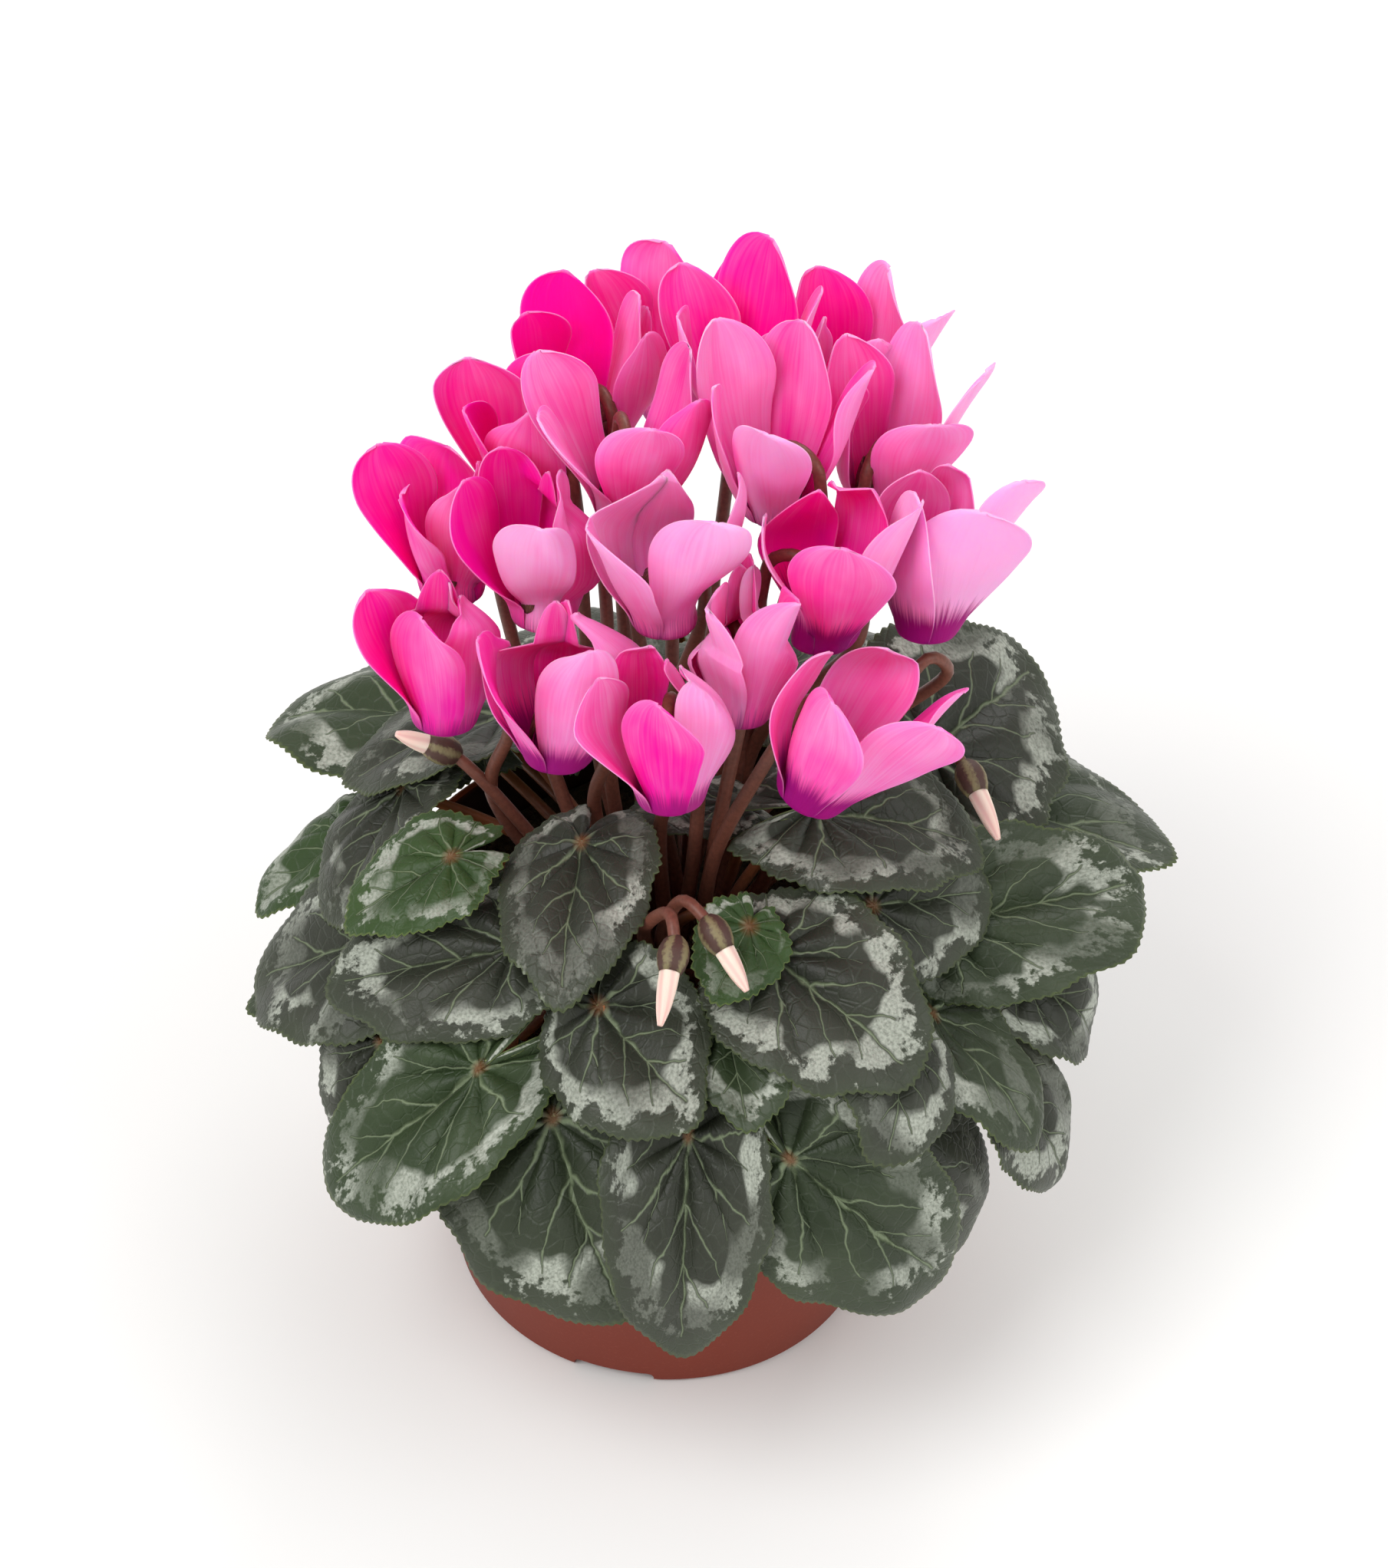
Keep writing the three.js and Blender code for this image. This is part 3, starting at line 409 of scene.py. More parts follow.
    # Red-brown where the stalk joins, and a thin yellow-green rim
    onFace = addNode(tree, "ShaderNodeVectorMath", place, (1, 1, 0), operation="MULTIPLY")
    fromJoint = addNode(tree, "ShaderNodeVectorMath", onFace, output="Value", operation="LENGTH")
    joint = addNode(tree, "ShaderNodeMapRange", fromJoint, *look["jointSpot"])
    rimShare = addNode(tree, "ShaderNodeMath", young, 0.5, 0.22, operation="MULTIPLY_ADD")
    edge = addNode(tree, "ShaderNodeMapRange", share, 0.975, 0.995)
    rimTint = addNode(tree, "ShaderNodeMath", edge, rimShare, operation="MULTIPLY")
    upper = tissue
    for tint, name in ((silver, "silver"), (netTint, "fineVeins"), (veinTint, "veins"), (joint, "joint"),
                       (rimTint, "rim")):
        upper = addNode(tree, "ShaderNodeMix", {0: tint, 6: upper, 7: look[name]}, **inColour)
    lower = addNode(tree, "ShaderNodeMix", {0: veinTint, 6: look["underside"], 7: look["underVeins"]}, **inColour)
    colour = addNode(tree, "ShaderNodeMix", {0: under, 6: upper, 7: lower}, **inColour)
    # Sunken veins and a fine grain in the skin
    veinSunk = addNode(tree, "ShaderNodeMath", vein, -1.0, operation="MULTIPLY")
    netSunk = addNode(tree, "ShaderNodeMath", fineVein, -0.3, veinSunk, operation="MULTIPLY_ADD")
    relief = addNode(tree, "ShaderNodeMath", grain, 0.35, netSunk, operation="MULTIPLY_ADD")
    return finishMaterial(material, colour, relief, *look["relief"])


def leafReach(angle, index):
    heart = sum(term * np.cos(order * angle) for order, term in enumerate(leafShape["heart"]))
    fromNotch = (np.pi - np.abs(angle)) / leafShape["notchHalfAngle"]
    pointed = 1 + leafShape["tipPoint"] * np.exp(-(angle / leafShape["tipSpread"]) ** 2)
    lobed = 1 + leafShape["edgeLobes"] * (np.sin(9 * angle + index) + np.sin(14 * angle + 2.3 * index))
    return heart * (1 - leafShape["notchDepth"] * np.exp(-fromNotch ** 2)) * pointed * lobed


def leafFrame(row):
    joint = np.array(row["joint"], float)
    tip = np.array(row["tip"], float)
    lift = row.get("lift", 0)
    along = unit(tip - joint)
    outward = unit((joint + tip) / 2 - np.array(leafShape["domeCentre"])) * (1 - lift) + np.array((0, 0, lift))
    normal = unit(outward - along * (outward @ along))
    return joint, along, normal, np.cross(normal, along)


def evenAngles(wide, length, index):
    # angles at even steps along the outline, with whole teeth
    dense = np.linspace(-np.pi, np.pi, leafShape["outlineSteps"])
    reach = leafReach(dense, index) * length
    outline = np.stack([reach * np.cos(dense), reach * np.sin(dense) * wide], -1)
    steps = np.linalg.norm(np.diff(outline, axis=0), axis=1)
    travelled = np.concatenate([[0], np.cumsum(steps)])
    teeth = round(travelled[-1] / leafShape["toothPitch"])
    count = teeth * len(leafShape["toothProfile"])
    return np.interp(np.arange(count) * travelled[-1] / count, travelled, dense), teeth


def toothHeights(teeth, seed):
    # each tooth leans to the tip: it rises fast and falls slowly
    sizes = np.random.default_rng(seed).uniform(*leafShape["toothSizes"], teeth)
    return (sizes[:, None] * np.array(leafShape["toothProfile"])).ravel() * leafShape["toothHeight"]


def bladeGrid(row, index):
    joint, along, normal, across = leafFrame(row)
    length = np.linalg.norm(np.array(row["tip"], float) - joint)
    angles, teeth = evenAngles(row["wide"], length, index)
    shares = np.array(leafShape["rings"])[:, None]
    edge = leafReach(angles, index)
    toothed = smoothStep(shares, 0.9, 1.0) * toothHeights(teeth, index) * smoothStep(edge, 0.15, 0.35)
    reach = shares * length * edge + toothed
    x = reach * np.cos(angles)
    y = reach * np.sin(angles) * row["wide"]
    half = leafShape["halfWidth"] * length * row["wide"]
    t = x / length
    arch = 4 * row["arch"] * t * (1 - t) * np.where(t < 0, leafShape["lobeBend"], 1)
    droop = row["droop"] * (y / half) ** 2
    wave = row["wave"] * shares ** 2 * np.sin(leafShape["waveCount"] * angles + leafShape["wavePhase"] * index)
    points = joint + x[..., None] * along + y[..., None] * across + (arch - droop + wave)[..., None] * normal
    # cushions between the veins, a fold along the midrib and a ruffled margin, all in proportion to the blade
    size = length / leafShape["usualLength"]
    between = np.abs(np.sin(np.abs(angles) * 180 / leafShape["veinAngle"]))
    cushion = leafShape["cushion"] * size * (between - 0.5) * 4 * shares * (1 - shares)
    folded = np.exp(-(y / (leafShape["midribWidth"] * size)) ** 2) * smoothStep(x, -2, 6)
    fold = -leafShape["midribFold"] * size * folded * (1 - shares ** 3)
    ruffle = leafShape["ruffle"] * size * shares ** 5 * np.sin(7 * angles + 1.7 * index) * np.sin(4 * angles + index)
    return {"points": points, "relief": cushion + fold + ruffle, "x": x, "y": y, "shares": shares + 0 * angles,
            "length": length}


def ontoSolid(points, node):
    # Each point moves along its ray from the dome's centre onto the middle of the solid blade
    centre = Vector(leafShape["domeCentre"]) * mm
    outside = leafShape["domeReach"] * mm
    tree = BVHTree.FromPolygons([v.co for v in node.data.vertices], [p.vertices for p in node.data.polygons])
    rings, count, _ = points.shape
    shift = np.full((rings, count), np.nan)
    for r in range(rings):
        for i in range(count):
            ray = Vector(points[r, i]) * mm - centre
            far = ray.length
            ray.normalize()
            first = tree.ray_cast(centre, ray)[0]
            last = tree.ray_cast(centre + ray * outside, -ray)[0]
            if first is not None and last is not None:
                shift[r, i] = ((first - centre).length + (last - centre).length) / 2 / mm - far / mm
    # Where a ray misses the solid, the shift comes from the ring inside or from along the ring
    for r in range(rings):
        known = ~np.isnan(shift[r])
        if known.all():
            continue
        missing = np.flatnonzero(~known)
        if r and not np.isnan(shift[r - 1]).any():
            shift[r, missing] = shift[r - 1, missing]
        elif known.any():
            shift[r, missing] = np.interp(missing, np.flatnonzero(known), shift[r, known], period=count)
        else:
            shift[r] = shift[r - 1] if r else 0
    for _ in range(leafShape["smoothedAlong"]):
        shift = (np.roll(shift, 1, 1) + np.roll(shift, -1, 1) + 2 * shift) / 4
    for _ in range(leafShape["smoothedOutwards"]):
        inner = np.vstack([shift[:1], shift[:-1]])
        outer = np.vstack([shift[1:], shift[-1:]])
        shift = (inner + outer + 2 * shift) / 4
    rays = unit(points - np.array(leafShape["domeCentre"], float))
    return points + rays * shift[..., None]


def gridNormals(points):
    alongRing = np.roll(points, -1, 1) - np.roll(points, 1, 1)
    return unit(np.cross(np.gradient(points, axis=0), alongRing))


def bladePiece(row, index, material):
    grid = bladeGrid(row, index)
    number = f"{index + 1:02d}"
    points = ontoSolid(grid["points"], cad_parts["leaf_" + number])
    points = points + gridNormals(points) * grid["relief"][..., None]
    normals = gridNormals(points)
    centre = points[0].mean(0)
    centreNormal = unit(normals[0].mean(0))
    rings, count, _ = points.shape
    thin = smoothStep(grid["shares"], 0.8, 1.0)[..., None]
    halfThick = (leafShape["thickness"] * (1 - thin) + leafShape["edgeThickness"] * thin) / 2
    sheets = [np.vstack([centre + side * centreNormal * leafShape["thickness"] / 2,
                         (points + side * normals * halfThick).reshape(-1, 3)]) for side in (1, -1)]
    sheet = 1 + rings * count
    faces = []
    for i in range(count):
        k = (i + 1) % count
        faces.append([0, 1 + i, 1 + k])
        for a in range(1, sheet - count, count):
            faces.append([a + i, a + count + i, a + count + k, a + k])
    below = [[corner + sheet for corner in reversed(face)] for face in faces]
    last = sheet - count
    edge = [[last + i, last + sheet + i, last + sheet + (i + 1) % count, last + (i + 1) % count] for i in range(count)]

    def onBoth(values):
        return np.tile(np.concatenate([[0], values.ravel()]), 2)

    piece = onePart(
        "leaf_blade_" + number, np.vstack(sheets), faces + below + edge, [material],
        bladeAlong=onBoth(grid["x"] / grid["length"]), bladeAcross=onBoth(grid["y"] / grid["length"] / row["wide"]),
        bladeShare=onBoth(grid["shares"]), bladeUnder=np.repeat((0.0, 1.0), sheet), bladeLength=grid["length"],
        bladeYoung=row.get("young", leafShape["usualYouth"]), bladeOrder=float(index))
    dress(piece, "leaf", "leaf_" + number)
    return {"joint": centre, "normal": centreNormal}


leafMaterial = bladeMaterial(bladeVeins, bladeLook)
bladeJoints = [bladePiece(row, index, leafMaterial) for index, row in enumerate(leafRows)]
print("leaf blades made:", len(bladeJoints))

# Blooms, by the same rows as the solids: mouth, lean, where the stalk's waist is, size, how open, turn;
# then how pale and how strong the purple eye is
bloomShape = {
    "ways": (0, 0.08, 0.25, 0.43, 0.71, 1),
    "reaches": (3.7, 5.4, 7.9, 11, 14.6, 17.8),
    "heights": (1.9, -0.9, 4.4, 12, 22, 32.2),
    "halves": (2.0, 2.9, 5.1, 7.7, 10.6, 10.6),
    "crest": 0.71,
    "bluntness": 2.3,
    "twist": 48,
    "twistRange": 14,
    "sideTwist": 18,
    "halfRange": 0.08,
    "heightRange": 0.05,
    "curlRange": (-2.2, 2.8),
    "leanRange": 2,
    "cupRange": (0.3, 2.2),
    "toneRange": (0.08, 0.66),
    "rootCup": 0.42,
    "cup": 0.15,
    "ruffle": 0.75,
    "middleRise": 0.25,
    "crowded": 0.3,
    "crowdedWidth": 0.92,
    "petals": 5,
    "doorway": 104,
    "crownRise": 18,
    "cellGap": 0.9,
    "mouthRoom": 7.6,
    "cellEase": 0.3,
    "cellBlend": 10,
    "thickness": 0.5,
    "edgeThickness": 0.24,
    "rows": 34,
    "columns": 15,
    "rowBunching": 0.07,
    "lastRow": 0.9985,
    "tube": ((0.01, 7.2), (3.0, 7.2), (3.5, 4), (3.6, 1.2), (3.9, -0.3), (4.5, -0.9), (4.9, -0.2), (4.6, 2.4),
             (4.4, 5.4), (4.1, 8.2), (0.01, 8.2)),
    "tubeSides": 40,
    "seed": 100,
    "anthers": ((0.05, -0.8), (0.7, -0.6), (1.8, 1.5), (2.3, 4.5), (2.2, 7.3)),
    "antherSides": 15,
    "style": ((0.03, -2.6), (0.28, -2.5), (0.25, 0.5), (0.2, 1)),
    "styleSides": 10,
}
bloomColumns = ("nose", "lean", "waist", "size", "open", "turn", "pale", "eye")
bloomRows = [dict(zip(bloomColumns, row)) for row in (
    ((-46, -12, 158), (0, 0.15), (-37, -3), 0.95, 0.85, 0, 0, 0.65),
    ((-24, -21, 158), (0.03, 0.18), (-17, -5), 1, 1.3, 0, 0.1, 0.95),
    ((-2, -33, 160), (-0.1, 0.2), (-4, -9), 0.95, 1, 0, -0.05, 0.8),
    ((24, -31, 160), (0.37, 0.16), (7, -16), 1, 1.1, 0, 0.15, 1),
    ((10, -17, 168), (0, 0.2), (3, -12), 1, 1.1, 0, 0.3, 0.6),
    ((-46, 8, 173), (0, 0.1), (-24, 0), 0.9, 0.8, 60, -0.1, 0.6),
    ((-28, 0, 175), (0, 0.1), (-14, 2), 1, 1.1, 20, 0.1, 0.5),
    ((-5, -7, 181), (0, 0.15), (-5, 10), 1, 1.3, 0, 0.4, 0.6),
    ((25, -6, 178), (-0.05, 0.15), (7, -11), 1, 1.2, 0, 0.05, 1),
    ((45, 3, 174), (0, 0.15), (14, 16), 1, 0.78, 0, 0.45, 1),
    ((-32, 24, 179), (0, 0), (-17, 12), 0.95, 0.85, 0, -0.15, 0.6),
    ((-13, 14, 189), (0, 0), (-6, 13), 1, 1.2, 150, 0, 0.6),
    ((15, 17, 190), (0, 0), (9, 15), 1, 1.2, 90, 0.2, 0.6),
    ((36, 28, 183), (0, 0), (20, 18), 1, 0.9, 30, 0.3, 0.6),
    ((-21, 46, 178), (0, 0), (-10, 15), 0.95, 0.9, 0, -0.1, 0.6),
    ((8, 46, 186), (0, 0), (2, 19), 0.95, 1, 0, 0, 0.6),
    ((-6, 68, 171), (0, -0.1), (-3, 17), 0.95, 0.9, 0, -0.1, 0.7),
    ((30, 54, 178), (0, 0), (12, 17), 0.95, 0.9, 0, 0.15, 0.7),
)]
petalLook = {
    "deepPink": "#ff069e",
    "palePink": "#ffb2e2",
    "paleness": (0.55, 1.8),
    "eye": "#82046c",
    "eyeClouds": "#a20872",
    "eyeWidth": 0.16,
    "eyeReach": (0.34, -0.05),
    "eyeDepth": (0.4, 0.6),
    # toneShares, in order: painted shade on the face that looks into the bloom, then the way to the tip, the clouds and
    # the streaks
    "toneShares": (-0.35, 0.3, 0.7, 0.45),
    # the rim colour is a painted highlight along the petal's edge
    "rim": "#ffc0dc",
    "rimTint": 0.3,
    "streaks": (17, 1.6, 3.7),
    "clouds": (1.3, 2.2, 1.9),
    "relief": (0.25, 0.25),
}


def petalMaterial(look):
    # A fresh petal: thin, satin and lit from within, so some light passes under its skin
    material, tree = newMaterial("fresh cyclamen petal", Roughness=0.55, IOR=1.4, Specular_IOR_Level=0.12,
                                 Subsurface_Weight=0.6, Subsurface_Radius=(1.0, 0.25, 0.6), Subsurface_Scale=2 * mm)
    way, across, rim, tone, eye, inner, order = (
        addNode(tree, "ShaderNodeAttribute", output="Fac", attribute_name="petal" + name)
        for name in ("Way", "Across", "Rim", "Tone", "Eye", "Inner", "Order"))
    # Streaks about 0.5 mm wide that run from root to tip, and broad clouds
    place = addNode(tree, "ShaderNodeCombineXYZ", across, way, order)
    drawnOut = addNode(tree, "ShaderNodeVectorMath", place, look["streaks"], operation="MULTIPLY")
    streak = addNode(tree, "ShaderNodeTexNoise", {"Vector": drawnOut, "Scale": 1.0, "Detail": 4.0})
    broad = addNode(tree, "ShaderNodeVectorMath", place, look["clouds"], operation="MULTIPLY")
    cloud = addNode(tree, "ShaderNodeTexNoise", {"Vector": broad, "Scale": 1.0})
    # Painted shade: the face that looks into the bloom is made deeper pink, for the shade inside the bloom; paler
    # towards the tip
    toned = tone
    for part, share in zip((inner, way, cloud, streak), look["toneShares"]):
        toned = addNode(tree, "ShaderNodeMath", part, share, toned, operation="MULTIPLY_ADD")
    paleness = addNode(tree, "ShaderNodeMapRange", toned, *look["paleness"], interpolation_type="SMOOTHSTEP")
    pink = addNode(tree, "ShaderNodeMix", {0: paleness, 6: look["deepPink"], 7: look["palePink"]}, **inColour)
    # The purple eye fades along the streaks
    eyeWay = addNode(tree, "ShaderNodeMath", streak, -0.22, way, operation="MULTIPLY_ADD")
    reach = addNode(tree, "ShaderNodeMath", eye, *look["eyeReach"], operation="MULTIPLY_ADD")
    start = addNode(tree, "ShaderNodeMath", reach, -look["eyeWidth"], operation="ADD")
    fade = addNode(tree, "ShaderNodeMapRange", eyeWay, start, reach, 1.0, 0.0, interpolation_type="SMOOTHSTEP")
    depth = addNode(tree, "ShaderNodeMath", eye, *look["eyeDepth"], operation="MULTIPLY_ADD")
    eyed = addNode(tree, "ShaderNodeMath", fade, depth, operation="MULTIPLY")
    purple = addNode(tree, "ShaderNodeMix", {0: cloud, 6: look["eye"], 7: look["eyeClouds"]}, **inColour)
    withEye = addNode(tree, "ShaderNodeMix", {0: eyed, 6: pink, 7: purple}, **inColour)
    # Painted highlight: a thin pale line along the petal's edge
    rimTint = addNode(tree, "ShaderNodeMath", rim, look["rimTint"], operation="MULTIPLY")
    colour = addNode(tree, "ShaderNodeMix", {0: rimTint, 6: withEye, 7: look["rim"]}, **inColour)
    return finishMaterial(material, colour, streak, *look["relief"])


def bloomFrame(row):
    nose = np.array(row["nose"], float)
    axis = unit(np.array((*row["lean"], 1.0)))
    inward = np.array((-nose[0], -nose[1], 0.0))
    door = unit(inward - axis * (inward @ axis))
    turn = math.radians(row["turn"])
    door = door * math.cos(turn) + np.cross(axis, door) * math.sin(turn)
    return nose, axis, door, np.cross(axis, door)


def crownMiddle(row):
    nose, axis, _, _ = bloomFrame(row)
    return nose + axis * bloomShape["crownRise"] * row["size"]


def drawnIn(points, row):
    # Blooms crowd one another: a petal that would reach past the plane between two is drawn in
    nose, axis, _, _ = bloomFrame(row)
    foot = nose + ((points - nose) @ axis)[..., None] * axis
    reach = points - foot
    middle = crownMiddle(row)
    crowding = np.zeros(points.shape[:-1])
    for other in bloomRows:
        if other is row:
            continue
        toward = crownMiddle(other) - middle
        between = np.linalg.norm(toward) * row["open"] / (row["open"] + other["open"]) - bloomShape["cellGap"]
        toward = unit(toward)
        mouth = (np.array(other["nose"], float) - middle) @ toward - bloomShape["mouthRoom"]
        room = min(between, mouth) - (foot - middle) @ toward
        crowding += np.maximum(0, (reach @ toward) / np.maximum(room, 1)) ** bloomShape["cellBlend"]
    crowding **= 1 / bloomShape["cellBlend"]
    ease = bloomShape["cellEase"]
    free = 1 - ease
    kept = free + ease * (1 - np.exp((free - crowding) / ease))
    share = np.where(crowding > free, kept / np.maximum(crowding, free), 1)
    return foot + reach * share[..., None]


def throughStations(ways, values, at):
    # a smooth curve through the stations, with the slope at each taken from its neighbours
    ways = np.array(ways, float)
    values = np.array(values, float)
    slopes = np.gradient(values, ways)
    k = np.clip(np.searchsorted(ways, at, side="right") - 1, 0, len(ways) - 2)
    span = ways[k + 1] - ways[k]
    t = (at - ways[k]) / span
    return ((2 * t ** 3 - 3 * t ** 2 + 1) * values[k] + (t ** 3 - 2 * t ** 2 + t) * span * slopes[k]
            + (3 * t ** 2 - 2 * t ** 3) * values[k + 1] + (t ** 3 - t ** 2) * span * slopes[k + 1])


def petalPoints(row, order, draw):
    shape = bloomShape
    nose, axis, door, side = bloomFrame(row)
    angle = math.radians(shape["doorway"] / 2 + (360 - shape["doorway"]) * order / (shape["petals"] - 1))
    radial = door * math.cos(angle) + side * math.sin(angle)
    tangent = np.cross(axis, radial)
    ways = np.array(shape["ways"])
    scale = np.where(ways > ways[1], row["size"], 1.0)
    hinge = shape["reaches"][1]
    reaches = np.where(ways > ways[1], hinge + (np.array(shape["reaches"]) - hinge) * row["open"], shape["reaches"])
    # rows stand closer together where the petal turns at the mouth and at its tip
    even = np.linspace(0, 1, shape["rows"])
    at = (even - shape["rowBunching"] * np.sin(2 * np.pi * even)) * shape["lastRow"]
    reach, height = (throughStations(ways, np.array(values) * scale, at)[:, None]
                     for values in (reaches, shape["heights"]))
    crest = shape["crest"]
    pastCrest = np.maximum(0, (at - crest) / (1 - crest)) ** shape["bluntness"]
    wide = throughStations(ways, np.array(shape["halves"]) * scale, np.minimum(at, crest))
    half = (wide * np.sqrt(1 - pastCrest))[:, None]
    q = np.sin(np.linspace(-1, 1, shape["columns"]) * np.pi / 2)
    at = at[:, None]
    # no two petals are alike: each is twisted, cupped, curled and sized a little differently
    twisted = shape["twist"] + shape["sideTwist"] * (radial[0] ** 2 - 0.4) + shape["twistRange"] * draw.uniform(-1, 1)
    twist = np.radians(twisted) * np.maximum(0, at - 0.1)
    half = half * (1 + shape["halfRange"] * draw.uniform(-1, 1))
    height = height * (1 + shape["heightRange"] * draw.uniform(-1, 1) * smoothStep(at, 0.1, 0.6))
    curl = draw.uniform(*shape["curlRange"]) * smoothStep(at, 0.55, 1.1) * row["size"]
    lean = draw.uniform(-shape["leanRange"], shape["leanRange"]) * at ** 2
    deepness = draw.uniform(*shape["cupRange"])
    cup = shape["rootCup"] + (shape["cup"] * deepness - shape["rootCup"]) * smoothStep(at, 0.08, 0.55)
    waved = np.sin(8 * at + draw.uniform(0, 6) + 1.5 * q)
    ruffle = shape["ruffle"] * smoothStep(at, 0.3, 0.8) * np.abs(q) ** 3 * waved
    facing = radial * np.cos(twist)[..., None] - tangent * np.sin(twist)[..., None]
    across = tangent * np.cos(twist)[..., None] + radial * np.sin(twist)[..., None]
    spine = nose + radial * (reach + curl)[..., None] + axis * height[..., None] + tangent * lean[..., None]
    aside = across * (q * half)[..., None] + facing * (ruffle - cup * half * q ** 2)[..., None]
    aside = aside + axis * (shape["middleRise"] * (1 - q ** 2))[..., None]
    # a crowded petal moves in partly as a whole and partly edge by edge
    moved = drawnIn(spine, row) + aside * shape["crowdedWidth"]
    squeezed = drawnIn(spine + aside, row)
    drawn = moved * shape["crowded"] + squeezed * (1 - shape["crowded"])
    weight = smoothStep(at, ways[1], 0.4)[..., None]
    return (spine + aside) * (1 - weight) + drawn * weight, at + 0 * q, q + 0 * at


def addSheet(parts, points, halfThick, **values):
    # a grid of points given thickness along its normals, with closed edges
    rows, columns, _ = points.shape
    normals = unit(np.cross(np.gradient(points, axis=1), np.gradient(points, axis=0)))
    both = np.concatenate([points + normals * halfThick, points - normals * halfThick]).reshape(-1, 3)
    sheet = rows * columns
    faces = []
    for r in range(rows - 1):
        for c in range(columns - 1):
            a = r * columns + c
            faces.append([a, a + 1, a + columns + 1, a + columns])
            faces.append([a + sheet, a + sheet + columns, a + sheet + columns + 1, a + sheet + 1])
    outline = list(range(columns)) + [r * columns + columns - 1 for r in range(1, rows)]
    outline += [(rows - 1) * columns + c for c in range(columns - 2, -1, -1)]
    outline += [r * columns for r in range(rows - 2, 0, -1)]
    for a, b in zip(outline, outline[1:] + outline[:1]):
        faces.append([a, a + sheet, b + sheet, b])
    doubled = {name: np.tile(np.ravel(value), 2) if np.ndim(value) else value for name, value in values.items()}
    addPart(parts, both, faces, petalInner=np.repeat((0.0, 1.0), sheet), **doubled)


def bloomPiece(row, index, materials):
    shape = bloomShape
    nose, axis, door, side = bloomFrame(row)
    placed = (nose, np.array((door, side, axis)))
    draw = np.random.default_rng(shape["seed"] + index)
    parts = emptyParts()
    bloomOrder = index * 5.3
    for order in range(shape["petals"]):
        points, way, q = petalPoints(row, order, draw)
        # where the painted highlight along the petal's edge goes
        rim = np.maximum(smoothStep(np.abs(q), 0.97, 1), smoothStep(way, 0.993, 1)) * smoothStep(way, 0.1, 0.3)
        thinner = (shape["edgeThickness"] - shape["thickness"]) * smoothStep(np.abs(q), 0.7, 1)
        addSheet(parts, points, (shape["thickness"] + thinner)[..., None] / 2, petalWay=way, petalAcross=q,
                 petalRim=rim, petalTone=draw.uniform(*shape["toneRange"]) + row["pale"], petalEye=row["eye"],
                 petalOrder=bloomOrder + order * 1.7)
    # The tube that the petals grow from, the cone of anthers in its mouth and the style that stands out of it
    sides = shape["tubeSides"]
    addPart(parts, *lathe(shape["tube"], sides, *placed), petalWay=0.02, petalEye=1.0, petalTone=0.2,
            petalOrder=bloomOrder, petalAcross=np.tile(np.sin(np.arange(sides) * 2.0), len(shape["tube"])))
    addPart(parts, *lathe(shape["anthers"], shape["antherSides"], *placed), 1)
    addPart(parts, *lathe(shape["style"], shape["styleSides"], *placed), 2)
    number = f"{index + 1:02d}"
    dress(makePiece("flower_" + number, parts, materials), "petal", "bloom_" + number)


def plainMaterial(name, roughness, scale, first, second):
    material, tree = newMaterial(name, Roughness=roughness)
    place = addNode(tree, "ShaderNodeTexCoord", output="Object")
    cloud = addNode(tree, "ShaderNodeTexNoise", {"Vector": place, "Scale": scale})
    return finishMaterial(material, addNode(tree, "ShaderNodeMix", {0: cloud, 6: first, 7: second}, **inColour))


# Ripe anthers are dull yellow with brown pollen slits, and the style is a glassy violet-pink thread
antherMaterial = plainMaterial("ripe anther", 0.8, 1.4 / mm, "#6e4a2a", "#c9a860")
styleMaterial = plainMaterial("cyclamen style", 0.35, 0.6 / mm, "#a02080", "#e08cc0")
flowerMaterials = [petalMaterial(petalLook), antherMaterial, styleMaterial]
for index, row in enumerate(bloomRows):
    bloomPiece(row, index, flowerMaterials)
print("flowers made:", len(bloomRows))

# Stalks: a tube along each path, thicker at its foot. Paths follow the solids'.
stalkShape = {
    "crownHeight": 86,
    "crownSpread": 11,
    "crownScatter": 0.35,
    "plantReach": 70,
    "rimClear": 99,
    "petioleFlat": 0.36,
    "petioleDrop": 1.5,
    "petioleRise": 0.4,
    "petioleOut": 0.1,
    "petioleApproach": 0.35,
    "petioleSteps": 14,
    "hookRadius": 5.6,
    "hookTurns": (0, 151, 25),
    "tubeTop": 8.3,
    "calyxHeight": 4.2,
    "waistHeight": 128,
    "petioleRadius": (1.35, 1.05),
    "stalkRadius": (1.6, 1.2),
    "footFlare": (0.5, 5),
    "spacing": 1.8,
    "sides": 12,
}
budRows = [
    {"calyx": (-46, -3, 140), "tip": (-56, -4, 145), "bend": (-41, -5, 137), "waist": (-30, -4, 120)},
    {"calyx": (0, -52, 138), "tip": (-2, -66, 132), "bend": (-1, -46, 141), "waist": (-6, -36, 127)},
    {"calyx": (7, -47, 139), "tip": (14, -57, 133), "bend": (2, -42, 141), "waist": (-2, -34, 127)},
    {"calyx": (56, 3, 135), "tip": (62, -10, 130), "bend": (50, 10, 137), "waist": (32, 14, 118)},
]
# A flower that has dropped its petals: its calyx still hangs from the hook of its stalk
fadedRow = {"calyx": (41, -3, 163), "tip": (39, -6, 157), "bend": (46, 0, 168), "side": (50, 3, 162),
            "waist": (30, 12, 128), "order": 7}


def crownStart(target, order):
    angle = math.atan2(target[1], target[0]) + stalkShape["crownScatter"] * math.sin(leafShape["wavePhase"] * order)
    reach = min(1, math.hypot(target[0], target[1]) / stalkShape["plantReach"])
    radius = stalkShape["crownSpread"] * (0.3 + 0.65 * reach)
    height = stalkShape["crownHeight"] - 1.5 - 3 * reach
    return np.array((radius * math.cos(angle), radius * math.sin(angle), height - 2))


def bezier(a, b, c, d, count):
    t = np.linspace(0, 1, count)[:, None]
    return a * (1 - t) ** 3 + 3 * b * t * (1 - t) ** 2 + 3 * c * t ** 2 * (1 - t) + d * t ** 3


